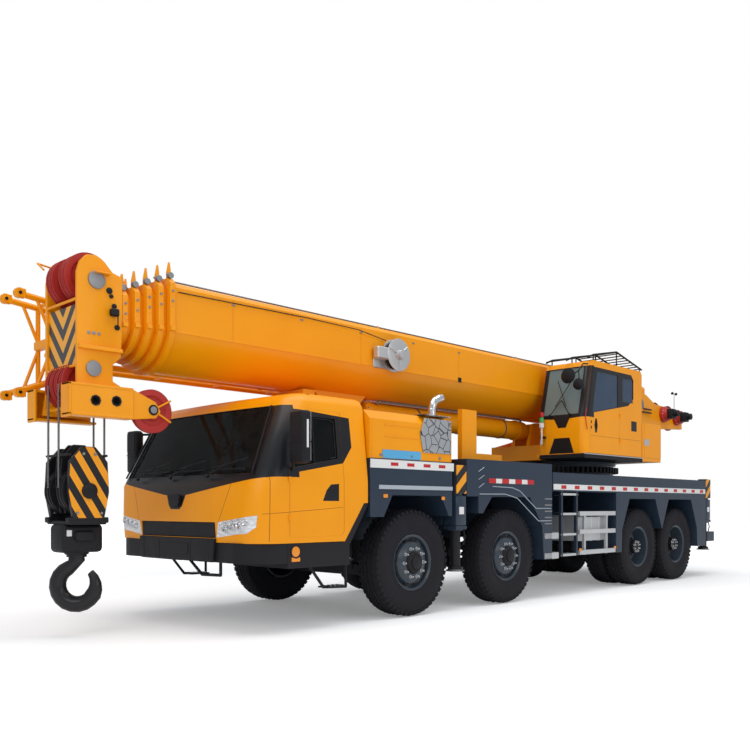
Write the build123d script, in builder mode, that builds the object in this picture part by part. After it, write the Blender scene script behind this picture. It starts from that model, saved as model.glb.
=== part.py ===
"""Truck-mounted mobile crane: four-axle carrier, slewing upper works and a six-section telescopic boom.

Frame: +X forward, +Y left, +Z up, origin on the ground under the middle of the bounding box.
The boom lies flat over the cab, the outriggers are in and the hook hangs ahead of the front panel.
Millimetres throughout.
"""
import os
from math import cos, radians, sin

from build123d import *

os.makedirs("parts", exist_ok=True)

# ---------------------------------------------------------------- driving dimensions
BODY_HALF = 1400            # half width over the carrier's side panels
FIT = 0.3                   # gap where one piece sits on another
RUN = 6                     # gap round pieces that open or slide past each other

# Axles, front to rear
AXLE_X = [2500, 660, -2970, -4340]
TYRE_R = 620
TYRE_W = 315
WHEEL_Y = 1182              # centre plane of the outer tyres
TWIN_PITCH = 350            # from outer to inner tyre of a pair
KINGPIN_Y = 1060
RIM_R = 318

# Frame and deck
FRAME_HALF = 430
FRAME_Z0 = 850
FRAME_Z1 = 1180
FRAME_REAR_X = -5850
FRAME_FRONT_X = 4560
DECK_Z = 1740
DECK_FRONT_X = -320
DECK_REAR_X = -5400

TOW_PIN_X = -6060
TOW_PIN_R = 25

# Outriggers: the left and right beams lie side by side in one crosswise box
BEAM_W = 190
BEAM_H = 300
BEAM_Z0 = 1060
BOX_WALL = 14
OUTRIGGER_X = {"front": 1590, "rear": -5625}
BOX_HALF_Y = 1175
LEG_R = 88
LEG_TOP_Z = 1770
LEG_BOTTOM_Z = 970
FOOT_Z = 490

# Carrier cab
CAB_FRONT_X = 4780
CAB_REAR_X = 3290
CAB_Z0 = 900
CAB_SILL_Z = 1560
CAB_ROOF_Z = 2430
CAB_BROW_X = 4200
CAB_BROW_Z = 2350
CAB_HALF = 1385
CAB_CORNER_R = 400
CAB_WALL = 50
CAB_DOOR_FRONT_X = 4380
CAB_DOOR_REAR_X = 3640
CAB_DOOR_Z0 = 960
CAB_DOOR_Z1 = 2250
HINGE_R = 11
HINGE_OUT = 12              # hinge axis outside the door's face
CAB_HINGE_Z = [1120, 1500]

# Engine cover behind the cab
HOOD_REAR_X = 1880
HOOD_Z0 = 1790
HOOD_Z1 = 2320
TROUGH_HALF = 330           # the low middle of the cover, under the luffing cylinder
TROUGH_Z = 2150
SHEET = 30

# Upper works
SLEW_X = -2700
RING_R = 900
RING_Z1 = 2000
TABLE_HALF = 560
CHEEK_IN = 520              # inner face of the boom foot cheeks
CHEEK_T = 50
FOOT_PIN_X = -4500
FOOT_PIN_Z = 3050
FOOT_PIN_R = 70
CYL_FOOT_X = -1800
CYL_EYE_X = 2500
CYL_Z = 2480
CYL_R = 145
ROD_R = 95
EYE_R = 125

# Operator cab
OP_Y0 = 610
OP_Y1 = 1380
OP_FRONT_X = -1160
OP_REAR_X = -2950
OP_Z0 = 2060
OP_Z1 = 3440
OP_WALL = 45
OP_DOOR_FRONT_X = -1330
OP_DOOR_REAR_X = -2250
OP_HINGE_Z = [2260, 2640]

# Boom
BOOM_HALF = 480
BOOM_TOP_Z = 3500
BOOM_SEAM_Z = 3000
BOOM_BELLY_Z = 2650
BOOM_REAR_X = -4880
BOOM_FRONT_X = 5180
BOOM_WALL = 12
SECTION_STEP = 42           # how much each section is smaller than the one round it, per side
COLLAR_PITCH = 105
COLLAR_LIP = 30
SECTIONS = 6
HEAD_X0 = 5640
SHEAVE_R = 300
SHEAVE_X = 5900
SHEAVE_Z = 3450
LOW_SHEAVE_R = 240
LOW_SHEAVE_Z = 2440
ROPE_R = 10
FALL_Y = [-60, 60]
HEAD_HALF = 340

# Hook
HOOK_X = 5900
BLOCK_TOP_Z = 1850
BLOCK_BOTTOM_Z = 780
HOOK_TIP_Z = 220


# ---------------------------------------------------------------- shared shapes
def block(x0, x1, y0, y1, z0, z1, mode=Mode.ADD):
    """Box between six planes, in the part being built."""
    with Locations(((x0 + x1) / 2, (y0 + y1) / 2, (z0 + z1) / 2)):
        Box(x1 - x0, y1 - y0, z1 - z0, mode=mode)


def post(x, y, z0, z1, radius, mode=Mode.ADD):
    """Upright cylinder, in the part being built."""
    with Locations((x, y, (z0 + z1) / 2)):
        Cylinder(radius, z1 - z0, mode=mode)


def cross_bar(x, z, y0, y1, radius, mode=Mode.ADD):
    """Cylinder along Y, in the part being built."""
    with Locations(Location((x, (y0 + y1) / 2, z), (90, 0, 0))):
        Cylinder(radius, y1 - y0, mode=mode)


def long_bar(y, z, x0, x1, radius, mode=Mode.ADD):
    """Cylinder along X, in the part being built."""
    with Locations(Location(((x0 + x1) / 2, y, z), (0, 90, 0))):
        Cylinder(radius, x1 - x0, mode=mode)


def hinge_knuckles(x, y, z, reach, length, gap, own):
    """One hinge: the door's middle knuckle (own) or the frame's outer two, with the leaf that reaches to x + reach."""
    spans = [(z, z + length)] if own else [(z - length, z - gap), (z + length + gap, z + 2 * length)]
    inward = -HINGE_OUT if y > 0 else HINGE_OUT
    with BuildPart(mode=Mode.PRIVATE) as body:
        for z0, z1 in spans:
            post(x, y, z0, z1, HINGE_R)
            block(min(x, x + reach), max(x, x + reach), min(y, y + inward * 1.5), max(y, y + inward * 1.5), z0, z1)
    return body.part


def plate(outline, y0, y1):
    """Plate with a side outline of (X, Z) points, between two Y planes."""
    with BuildPart(mode=Mode.PRIVATE) as body:
        with BuildSketch(Plane((0, y1, 0), x_dir=(1, 0, 0), z_dir=(0, -1, 0))):
            with BuildLine():
                Polyline(*outline, close=True)
            make_face()
        extrude(amount=y1 - y0)
    return body.part


def rod_between(start, end, radius):
    """Round bar from one point to another."""
    axis = Vector(*end) - Vector(*start)
    with BuildPart(mode=Mode.PRIVATE) as body:
        with BuildSketch(Plane(origin=start, z_dir=axis)):
            Circle(radius)
        extrude(amount=axis.length)
    return body.part


# ---------------------------------------------------------------- carrier frame
def beam_x(end, side):
    """Centre line of one outrigger beam: the left one lies ahead of the right one."""
    return OUTRIGGER_X[end] + side * (BEAM_W / 2 + BOX_WALL / 2 + RUN)


with BuildPart() as chassis_frame:
    block(FRAME_REAR_X + 20, 3290, -FRAME_HALF, FRAME_HALF, FRAME_Z0, FRAME_Z1)
    block(3290, FRAME_FRONT_X, -FRAME_HALF, FRAME_HALF, 700, CAB_Z0)
    block(3290, 3500, -FRAME_HALF, FRAME_HALF, 700, FRAME_Z0)
    block(FRAME_REAR_X + 20, DECK_FRONT_X, -FRAME_HALF, FRAME_HALF, FRAME_Z1, DECK_Z - 60)
    for end_x in OUTRIGGER_X.values():
        half = BEAM_W + 1.5 * BOX_WALL + 2 * RUN
        block(end_x - half, end_x + half, -BOX_HALF_Y, BOX_HALF_Y, BEAM_Z0 - BOX_WALL, BEAM_Z0 + BEAM_H + RUN + BOX_WALL)
    for end in OUTRIGGER_X:
        for side in (1, -1):
            cx = beam_x(end, side)
            half = BEAM_W / 2 + RUN
            block(cx - half, cx + half, -BOX_HALF_Y - 1, BOX_HALF_Y + 1, BEAM_Z0, BEAM_Z0 + BEAM_H + RUN, Mode.SUBTRACT)
    block(-6140, FRAME_REAR_X + 20, -1250, 1250, 620, 800)
    block(-6000, FRAME_REAR_X + 20, -FRAME_HALF, FRAME_HALF, 800, FRAME_Z1)
    post(TOW_PIN_X, 0, 619, 801, TOW_PIN_R, Mode.SUBTRACT)
chassis_frame.part.label = "chassis_frame"
export_step(chassis_frame.part, "parts/chassis_frame.step")

# Two dropped steering beams in front, two drive axles behind, with the shafts between them
HUB_BORE_R = 60
with BuildPart() as axles:
    for x in AXLE_X[:2]:
        block(x - 60, x + 60, -880, 880, 430, 560)
        for side in (1, -1):
            block(x - 60, x + 60, min(side * 800, side * 960), max(side * 800, side * 960), 430, 700)
            post(x, side * KINGPIN_Y, 540, 700, 62)
            block(x - 50, x + 50, min(side * 900, side * KINGPIN_Y), max(side * 900, side * KINGPIN_Y), 540, 700)
            block(x - 70, x + 70, side * 330 - 60, side * 330 + 60, 500, FRAME_Z0)
            post(x, side * KINGPIN_Y, 500, 760, 26 + FIT, Mode.SUBTRACT)
    for x in AXLE_X[2:]:
        cross_bar(x, TYRE_R, -640, 640, 105)
        cross_bar(x, TYRE_R, -1250, 1250, HUB_BORE_R)
        with Locations((x, 0, TYRE_R)):
            Sphere(215)
        for side in (1, -1):
            block(x - 70, x + 70, side * 330 - 60, side * 330 + 60, 600, FRAME_Z0)
    long_bar(0, 690, AXLE_X[3], AXLE_X[2], 60)
    long_bar(0, 690, AXLE_X[2], 1800, 60)
    block(1750, 2150, -200, 200, 600, FRAME_Z0)
axles.part.label = "axles"
export_step(axles.part, "parts/axles.step")

# Steering knuckles: a fork round the beam's eye, with a stub for the wheel
with BuildPart() as knuckle:
    post(0, 0, 460, 780, 26)
    for z0, z1 in ((460, 540 - FIT), (700 + FIT, 780)):
        post(0, 0, z0, z1, 62)
        block(-50, 50, 0, 80, z0, z1)
    block(-60, 60, 68, 110, 460, 780)
    cross_bar(0, TYRE_R, 68, 250, HUB_BORE_R)

STEERED = [("1_left", AXLE_X[0], 1), ("1_right", AXLE_X[0], -1), ("2_left", AXLE_X[1], 1), ("2_right", AXLE_X[1], -1)]
for name, x, side in STEERED:
    with BuildPart() as placed:
        with Locations(Location((x, side * KINGPIN_Y, 0), (0, 0, 0 if side > 0 else 180))):
            add(knuckle.part)
    placed.part.label = f"knuckle_{name}"
    export_step(placed.part, f"parts/knuckle_{name}.step")


# ---------------------------------------------------------------- wheels
STUB_GAP = 0.5
INNER_FACE = WHEEL_Y - TYRE_W / 2
TWIN_FACE = INNER_FACE - TWIN_PITCH


def band(y0, y1, r0, r1):
    """Ring section between two widths and two radii, in the wheel sketch being drawn."""
    with Locations(((y0 + y1) / 2, (r0 + r1) / 2)):
        Rectangle(y1 - y0, r1 - r0)


def tyre_ring(y0):
    """Tyre section with rounded shoulders, in the wheel sketch being drawn."""
    y1 = y0 + TYRE_W
    Polygon((y0 + 30, RIM_R), (y0, RIM_R + 90), (y0, TYRE_R - 90), (y0 + 20, TYRE_R - 25), (y0 + 60, TYRE_R),
            (y1 - 60, TYRE_R), (y1 - 20, TYRE_R - 25), (y1, TYRE_R - 90), (y1, RIM_R + 90), (y1 - 30, RIM_R),
            align=None)


with BuildPart() as front_wheel:
    with BuildSketch(Plane.YZ):
        tyre_ring(INNER_FACE)
        band(INNER_FACE + 30, INNER_FACE + 285, RIM_R - 28, RIM_R)
        band(INNER_FACE + 235, INNER_FACE + 260, 140, RIM_R - 28)
        band(INNER_FACE + 152, INNER_FACE + 300, HUB_BORE_R + STUB_GAP, 140)
        band(INNER_FACE + 288, INNER_FACE + 300, 0, 140)
    revolve(axis=Axis.Y)

with BuildPart() as rear_wheel:
    with BuildSketch(Plane.YZ):
        tyre_ring(INNER_FACE)
        tyre_ring(TWIN_FACE)
        band(TWIN_FACE + 30, INNER_FACE + 285, RIM_R - 28, RIM_R)
        band(INNER_FACE + 40, INNER_FACE + 65, 140, RIM_R - 28)
        band(TWIN_FACE + 30, 1290, HUB_BORE_R + STUB_GAP, 140)
        band(1252, 1290, 0, 140)
    revolve(axis=Axis.Y)

WHEELS = [("front_wheel_1", AXLE_X[0], front_wheel), ("front_wheel_2", AXLE_X[1], front_wheel),
          ("rear_wheel_1", AXLE_X[2], rear_wheel), ("rear_wheel_2", AXLE_X[3], rear_wheel)]
for name, x, shape in WHEELS:
    for side, word in ((1, "left"), (-1, "right")):
        with BuildPart() as wheel:
            with Locations(Location((x, 0, TYRE_R), (0, 0, 0 if side > 0 else 180))):
                add(shape.part)
        wheel.part.label = f"{name}_{word}"
        export_step(wheel.part, f"parts/{name}_{word}.step")


# ---------------------------------------------------------------- carrier cab
def cab_body(inset):
    """Closed outer form of the carrier cab, drawn in by an inset on every side."""
    x1 = CAB_FRONT_X - inset
    x0 = CAB_REAR_X + inset
    half = CAB_HALF - inset
    roof = CAB_ROOF_Z - inset
    with BuildPart(mode=Mode.PRIVATE) as body:
        with BuildSketch(Plane((0, CAB_HALF, 0), x_dir=(1, 0, 0), z_dir=(0, -1, 0))):
            with BuildLine():
                Polyline((x0, CAB_Z0 + inset), (x1 - 60, CAB_Z0 + inset), (x1, CAB_Z0 + 120), (x1, CAB_SILL_Z - 40),
                         (x1 - 40, CAB_SILL_Z), (CAB_BROW_X - inset, CAB_BROW_Z - inset), (CAB_BROW_X - 160, roof),
                         (x0 + 120, roof), (x0, roof - 120), close=True)
            make_face()
        extrude(amount=2 * CAB_HALF)
        with BuildSketch(Plane.XY.offset(CAB_Z0)):
            with BuildLine():
                Polyline((x0, -half), (x1 - CAB_CORNER_R + inset, -half))
                RadiusArc((x1 - CAB_CORNER_R + inset, -half), (x1, -half + CAB_CORNER_R - inset), -(CAB_CORNER_R - inset))
                Line((x1, -half + CAB_CORNER_R - inset), (x1, half - CAB_CORNER_R + inset))
                RadiusArc((x1, half - CAB_CORNER_R + inset), (x1 - CAB_CORNER_R + inset, half), -(CAB_CORNER_R - inset))
                Polyline((x1 - CAB_CORNER_R + inset, half), (x0, half), (x0, -half))
            make_face()
        extrude(amount=1600, mode=Mode.INTERSECT)
        with BuildSketch(Plane.YZ.offset(x0)):
            with BuildLine():
                Polyline((-half, CAB_Z0), (half, CAB_Z0), (half, 1600), (half - 70, CAB_ROOF_Z - 190 - inset),
                         (half - 210, roof), (-half + 210, roof), (-half + 70, CAB_ROOF_Z - 190 - inset),
                         (-half, 1600), close=True)
            make_face()
        extrude(amount=1600, mode=Mode.INTERSECT)
    return body.part


def window_cuts(gap):
    """Window and door openings of the carrier cab, each made smaller by a gap: windscreen, rear and side panes."""
    with BuildPart(mode=Mode.PRIVATE) as cuts:
        with BuildSketch(Plane.YZ.offset(CAB_BROW_X - 300)):
            with BuildLine():
                Polyline((-1240 + gap, 1600 + gap), (1240 - gap, 1600 + gap), (1150 - gap, 2270 - gap),
                         (-1150 + gap, 2270 - gap), close=True)
            make_face()
        extrude(amount=900)
        block(CAB_REAR_X - 50, CAB_REAR_X + 200, -900 + gap, 900 - gap, 1700 + gap, 2150 - gap)
    return cuts.part


def door_outline(gap):
    """Outline of a carrier cab door as (X, Z) points, made smaller by a gap."""
    return [(CAB_DOOR_REAR_X + gap, CAB_DOOR_Z0 + gap), (CAB_DOOR_FRONT_X - gap, CAB_DOOR_Z0 + gap),
            (CAB_DOOR_FRONT_X - gap, 1640), (CAB_BROW_X - 120 - gap, CAB_DOOR_Z1 - gap),
            (CAB_DOOR_REAR_X + gap, CAB_DOOR_Z1 - gap)]


DOOR_WINDOW = [(CAB_DOOR_REAR_X + 180, 1680), (CAB_DOOR_FRONT_X - 90, 1600), (CAB_BROW_X - 180, CAB_DOOR_Z1 - 70),
               (CAB_DOOR_REAR_X + 80, CAB_DOOR_Z1 - 70), (CAB_DOOR_REAR_X + 80, 1800)]
GRILLE_Z = [950, 1130]
LAMP_Z = [1020, 1160]
LAMP_DEPTH = 30


def lamp_blocks(gap):
    """Boxes that bound the two headlamps at the cab's front corners, each made smaller by a gap."""
    with BuildPart(mode=Mode.PRIVATE) as body:
        for side in (1, -1):
            y0, y1 = sorted((side * 720, side * 1340))
            block(4300, 4900, y0 + gap, y1 - gap, LAMP_Z[0] + gap, LAMP_Z[1] - gap)
    return body.part


CAB_HINGE_X = CAB_DOOR_FRONT_X - RUN / 2
CAB_SHELL = cab_body(0) - cab_body(CAB_WALL)
LAMP_SKIN = cab_body(0) - cab_body(LAMP_DEPTH)
CAB_GLAZING = cab_body(8) - cab_body(16)

with BuildPart() as carrier_cab:
    add(CAB_SHELL)
    add(window_cuts(0), mode=Mode.SUBTRACT)
    add(LAMP_SKIN & lamp_blocks(0), mode=Mode.SUBTRACT)
    block(CAB_FRONT_X - 20, CAB_FRONT_X + 20, -700, 700, *GRILLE_Z, Mode.SUBTRACT)
    add(plate(door_outline(0), 900, 1500), mode=Mode.SUBTRACT)
    add(plate(door_outline(0), -1500, -900), mode=Mode.SUBTRACT)
    for side in (1, -1):
        for z in CAB_HINGE_Z:
            add(hinge_knuckles(CAB_HINGE_X, side * (CAB_HALF + HINGE_OUT), z, 50, 60, FIT, False))
carrier_cab.part.label = "carrier_cab"
export_step(carrier_cab.part, "parts/carrier_cab.step")

with BuildPart() as cab_glass:
    add(CAB_GLAZING)
    add(window_cuts(FIT), mode=Mode.INTERSECT)
cab_glass.part.label = "cab_glass"
export_step(cab_glass.part, "parts/cab_glass.step")

for side, word in ((1, "left"), (-1, "right")):
    near, far = sorted((side * 1100, side * 1500))
    with BuildPart() as cab_door:
        add(CAB_SHELL)
        add(plate(door_outline(RUN), near, far), mode=Mode.INTERSECT)
        add(plate(DOOR_WINDOW, near, far), mode=Mode.SUBTRACT)
        for z in CAB_HINGE_Z:
            add(hinge_knuckles(CAB_HINGE_X, side * (CAB_HALF + HINGE_OUT), z, -50, 60, FIT, True))
    cab_door.part.label = f"cab_door_{word}"
    export_step(cab_door.part, f"parts/cab_door_{word}.step")

    with BuildPart() as mirror:
        y0, y1 = sorted((side * 1470, side * 1650))
        block(4110, 4190, y0, y1, 1830, 2210)
        fillet(mirror.edges().filter_by(Axis.Z), 25)
        add(rod_between((4150, side * 1344.5, 1990), (4150, side * 1480, 1990), 14))
    mirror.part.label = f"mirror_{word}"
    export_step(mirror.part, f"parts/mirror_{word}.step")


def plan_ring(x0, inset, wall, z0, z1):
    """Band that follows the cab's front corners in plan, open at the back."""
    with BuildPart(mode=Mode.PRIVATE) as body:
        for grow, mode in ((inset, Mode.ADD), (inset + wall, Mode.SUBTRACT)):
            half = CAB_HALF - grow
            front = CAB_FRONT_X - grow
            radius = CAB_CORNER_R - grow
            with BuildSketch(Plane.XY.offset(z0)):
                with BuildLine():
                    Polyline((x0, -half), (front - radius, -half))
                    RadiusArc((front - radius, -half), (front, -half + radius), -radius)
                    Line((front, -half + radius), (front, half - radius))
                    RadiusArc((front, half - radius), (front - radius, half), -radius)
                    Polyline((front - radius, half), (x0, half), (x0, -half))
                make_face()
            extrude(amount=z1 - z0, mode=mode)
    return body.part


with BuildPart() as front_bumper:
    add(plan_ring(4100, 5, 90, 700, CAB_Z0 - FIT))
    block(FRAME_FRONT_X, 4700, -FRAME_HALF, FRAME_HALF, 720, CAB_Z0 - FIT)
    block(CAB_FRONT_X - 20, CAB_FRONT_X, -700, 700, *GRILLE_Z)
front_bumper.part.label = "front_bumper"
export_step(front_bumper.part, "parts/front_bumper.step")

with BuildPart() as lamps:
    add(LAMP_SKIN & lamp_blocks(FIT))
    for side in (1, -1):
        y0, y1 = sorted((side * 900, side * 1200))
        block(-6160, -6140, y0, y1, 650, 770)
lamps.part.label = "lamps"
export_step(lamps.part, "parts/lamps.step")

with BuildPart() as cab_interior:
    floor = CAB_Z0 + CAB_WALL
    for side in (1, -1):
        y = side * 640
        block(3700, 4040, y - 180, y + 180, floor, 1240)
        block(3620, 4100, y - 240, y + 240, 1240, 1400)
        block(3500, 3640, y - 230, y + 230, 1300, 2000)
    block(4450, CAB_FRONT_X - CAB_WALL, -930, 930, 1200, 1480)
    add(rod_between((4470, 640, 1380), (4300, 640, 1590), 28))
    with Locations(Location((4300, 640, 1590), (0, -38, 0))):
        Torus(215, 16)
        Cylinder(70, 30)
        Box(420, 36, 20)
cab_interior.part.label = "cab_interior"
export_step(cab_interior.part, "parts/cab_interior.step")

# ---------------------------------------------------------------- carrier body
HOOD_FRONT_X = CAB_REAR_X - 20


def hood_outline(inset):
    """Front view of the engine cover as (Y, Z) points, drawn in by an inset."""
    half = BODY_HALF - 10 - inset
    left = [(half, HOOD_Z0), (half, HOOD_Z1 - 100), (half - 100 + inset / 2, HOOD_Z1 - inset),
            (TROUGH_HALF + 60 + inset, HOOD_Z1 - inset), (TROUGH_HALF + inset, TROUGH_Z - inset)]
    return left + [(-y, z) for y, z in reversed(left)]


with BuildPart() as engine_cover:
    with BuildSketch(Plane.YZ.offset(HOOD_REAR_X)):
        Polygon(*hood_outline(0), align=None)
    extrude(amount=HOOD_FRONT_X - HOOD_REAR_X)
    with BuildSketch(Plane.YZ.offset(HOOD_REAR_X + SHEET)):
        Polygon(*hood_outline(SHEET), align=None)
    extrude(amount=HOOD_FRONT_X - HOOD_REAR_X - 2 * SHEET, mode=Mode.SUBTRACT)
engine_cover.part.label = "engine_cover"
export_step(engine_cover.part, "parts/engine_cover.step")

with BuildPart() as engine:
    block(1960, 3180, -400, 400, FRAME_Z1, 2050)
    fillet(engine.edges().filter_by(Axis.X), 60)
engine.part.label = "engine"
export_step(engine.part, "parts/engine.step")

ARCH_TOP_Z = 1390
with BuildPart() as front_fenders:
    for side in (1, -1):
        y0, y1 = sorted((side * (FRAME_HALF + 40), side * BODY_HALF))
        x = AXLE_X[0]
        add(plate([(HOOD_REAR_X, HOOD_Z0), (HOOD_REAR_X, 1150), (x - 560, 1150), (x - 420, ARCH_TOP_Z),
                   (x + 420, ARCH_TOP_Z), (x + 560, 1150), (HOOD_FRONT_X, 1150), (HOOD_FRONT_X, HOOD_Z0)], y0, y1))
        y0, y1 = sorted((side * FRAME_HALF, side * (FRAME_HALF + 40)))
        block(HOOD_REAR_X, HOOD_FRONT_X, y0, y1, 1100, HOOD_Z0)
        front_x = 1595 if side > 0 else 1362
        y0, y1 = sorted((0, side * BODY_HALF))
        x = AXLE_X[1]
        add(plate([(front_x, 1850), (front_x, ARCH_TOP_Z), (x - 380, ARCH_TOP_Z), (-300, ARCH_TOP_Z), (-300, 1850)], y0, y1))
        y0, y1 = sorted((side * 700, side * BODY_HALF))
        add(plate([(1362, ARCH_TOP_Z), (1362, 1180), (x + 610, 1180), (x + 420, ARCH_TOP_Z)], y0, y1))
        add(plate([(x - 420, ARCH_TOP_Z), (x - 720, 1000), (x - 760, 540), (-300, 540), (-300, ARCH_TOP_Z)], y0, y1))
    block(100, 1362, -FRAME_HALF, FRAME_HALF, FRAME_Z1, ARCH_TOP_Z)
front_fenders.part.label = "front_fenders"
export_step(front_fenders.part, "parts/front_fenders.step")

with BuildPart() as rear_deck:
    block(DECK_REAR_X, DECK_FRONT_X, -BODY_HALF, BODY_HALF, DECK_Z - 60, DECK_Z)
    for side in (1, -1):
        y0, y1 = sorted((side * (BODY_HALF - 40), side * BODY_HALF))
        block(DECK_REAR_X, DECK_FRONT_X, y0, y1, 1480, DECK_Z)
        y0, y1 = sorted((side * 620, side * BODY_HALF))
        outline = [(-2100, DECK_Z - 60), (-2100, 560), (-2270, 560)]
        for x in AXLE_X[2:]:
            outline += [(x + 680, 900), (x + 440, ARCH_TOP_Z), (x - 440, ARCH_TOP_Z), (x - 680, 900)]
        outline += [(-5050, 560), (DECK_REAR_X, 560), (DECK_REAR_X, DECK_Z - 60)]
        add(plate(outline, y0, y1))
        y0, y1 = sorted((side * FRAME_HALF, side * 700))
        block(-2270, -2100, y0, y1, 1400, DECK_Z - 60)
        block(DECK_REAR_X, DECK_REAR_X + 120, y0, y1, 1400, DECK_Z - 60)
rear_deck.part.label = "rear_deck"
export_step(rear_deck.part, "parts/rear_deck.step")

with BuildPart() as side_equipment:
    for side in (1, -1):
        y0, y1 = sorted((side * (BODY_HALF - 35), side * BODY_HALF))
        for z in (600, 900, 1165):
            block(-2080, -1040, y0, y1, z - 32, z + 32)
        for x in (-1240, -1880):
            a, b = sorted((side * FRAME_HALF, side * (BODY_HALF - 35)))
            block(x - 30, x + 30, a, b, 1110, 1170)
            a, b = sorted((side * (BODY_HALF - 75), side * (BODY_HALF - 35)))
            block(x - 20, x + 20, a, b, 560, 1170)
        a, b = sorted((side * 800, side * 1290))
        block(-1960, -1160, a, b, 760, 1110)
        a, b = sorted((side * (BODY_HALF - 45), side * BODY_HALF))
        for x in (-960, -560):
            block(x - 18, x + 18, a, b, 560, 1480)
        a, b = sorted((side * (BODY_HALF - 160), side * BODY_HALF))
        for z in (580, 870, 1160, 1440):
            block(-960, -560, a, b, z - 16, z + 16)
side_equipment.part.label = "side_equipment"
export_step(side_equipment.part, "parts/side_equipment.step")

with BuildPart() as exhaust:
    block(1990, 2340, 1090, 1290, HOOD_Z1, HOOD_Z1 + 60)
    add(rod_between((2180, 1190, HOOD_Z1 + 60), (2180, 1190, 2500), 55))
    add(rod_between((2180, 1190, 2470), (2080, 1190, 2590), 50))
exhaust.part.label = "exhaust"
export_step(exhaust.part, "parts/exhaust.step")

with BuildPart() as boom_rest:
    block(3060, 3240, -180, 180, TROUGH_Z, TROUGH_Z + 40)
    block(3100, 3200, -60, 60, TROUGH_Z + 40, 2560)
    block(3060, 3240, -260, 260, 2560, BOOM_BELLY_Z - FIT)
    block(1050, 1350, 1060, 1130, 1850, 2500)
    block(500, 1350, 1060, 1130, 1850, 1950)
boom_rest.part.label = "boom_rest"
export_step(boom_rest.part, "parts/boom_rest.step")

with BuildPart() as slew_ring:
    post(SLEW_X, 0, DECK_Z, RING_Z1, RING_R)
    post(SLEW_X, 0, DECK_Z, RING_Z1, RING_R - 180, Mode.SUBTRACT)
    post(SLEW_X, 0, RING_Z1 - 60, RING_Z1, RING_R + 40)
    post(SLEW_X, 0, RING_Z1 - 60, RING_Z1, RING_R - 180, Mode.SUBTRACT)
slew_ring.part.label = "slew_ring"
export_step(slew_ring.part, "parts/slew_ring.step")

# ---------------------------------------------------------------- outriggers
BEAM_INNER_Y = -1080
BEAM_OUTER_Y = 1205
LEG_Y = 1300
for end in OUTRIGGER_X:
    for side, word in ((1, "left"), (-1, "right")):
        cx = beam_x(end, side)
        half = BEAM_W / 2
        with BuildPart() as beam:
            y0, y1 = sorted((side * BEAM_INNER_Y, side * (LEG_Y - 40)))
            block(cx - half, cx + half, y0, y1, BEAM_Z0 + FIT, BEAM_Z0 + BEAM_H)
            block(cx - half + 14, cx + half - 14, y0 - 1, y1 - 0, BEAM_Z0 + 14, BEAM_Z0 + BEAM_H - 14, Mode.SUBTRACT)
            post(cx, side * LEG_Y, LEG_BOTTOM_Z, LEG_TOP_Z, LEG_R)
            post(cx, side * LEG_Y, LEG_BOTTOM_Z, LEG_TOP_Z - 30, LEG_R - 24, Mode.SUBTRACT)
        beam.part.label = f"outrigger_beam_{end}_{word}"
        export_step(beam.part, f"parts/outrigger_beam_{end}_{word}.step")
        with BuildPart() as jack:
            post(cx, side * LEG_Y, FOOT_Z + 40, LEG_TOP_Z - 60, LEG_R - 24 - FIT)
            post(cx, side * LEG_Y, FOOT_Z, FOOT_Z + 45, 90)
        jack.part.label = f"jack_{end}_{word}"
        export_step(jack.part, f"parts/jack_{end}_{word}.step")

# ---------------------------------------------------------------- upper works
TABLE_Z0 = RING_Z1 + FIT
TABLE_Z1 = 2240
WINCHES = [("main", -5430, 3010), ("rear", -5980, 2990)]
CHEEK = [(-1620, TABLE_Z1), (-2600, 2470), (-4100, 3320), (-4750, 3320), (-5100, 3180), (-6250, 3120), (-6250, 2780),
         (-4600, 2690), (-3700, TABLE_Z1)]
with BuildPart() as turntable:
    block(-3700, -1560, -TABLE_HALF, TABLE_HALF, TABLE_Z0, TABLE_Z1)
    post(SLEW_X, 0, TABLE_Z0, OP_Z0, RING_R)
    for side in (1, -1):
        y0, y1 = sorted((side * CHEEK_IN, side * (CHEEK_IN + CHEEK_T)))
        add(plate(CHEEK, y0, y1))
        y0, y1 = sorted((side * 112, side * 170))
        add(plate([(-2060, TABLE_Z1), (-1920, CYL_Z + 100), (-1850, CYL_Z + 130), (-1750, CYL_Z + 130),
                   (-1680, CYL_Z + 100), (-1570, TABLE_Z1)], y0, y1))
    cross_bar(CYL_FOOT_X, CYL_Z, -170, 170, 60)
    cross_bar(FOOT_PIN_X, FOOT_PIN_Z, -CHEEK_IN - 90, CHEEK_IN + 90, FOOT_PIN_R)
    block(OP_REAR_X, OP_FRONT_X - 60, TABLE_HALF - 20, OP_Y1 - 20, TABLE_Z0, OP_Z0)
    block(-3640, OP_REAR_X - 40, TABLE_HALF - 20, OP_Y1, TABLE_Z0, 2600)
turntable.part.label = "turntable"
export_step(turntable.part, "parts/turntable.step")

with BuildPart() as winches:
    for name, x, z in WINCHES:
        cross_bar(x, z, -CHEEK_IN, CHEEK_IN, 60)
        cross_bar(x, z, -400, 400, 170)
        for y0 in (-420, 390):
            cross_bar(x, z, y0, y0 + 30, 240)
winches.part.label = "winches"
export_step(winches.part, "parts/winches.step")


def operator_body(inset):
    """Closed outer form of the operator cab, drawn in by an inset on every side."""
    return plate([(OP_REAR_X + inset, OP_Z0 + inset), (OP_FRONT_X - inset, OP_Z0 + inset),
                  (OP_FRONT_X - inset, 2560), (-1540 - inset, OP_Z1 - 60 - inset), (-1720, OP_Z1 - inset),
                  (-2780, OP_Z1 - 110 - inset), (OP_REAR_X + inset, OP_Z1 - 260)], OP_Y0 + inset, OP_Y1 - inset)


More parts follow.
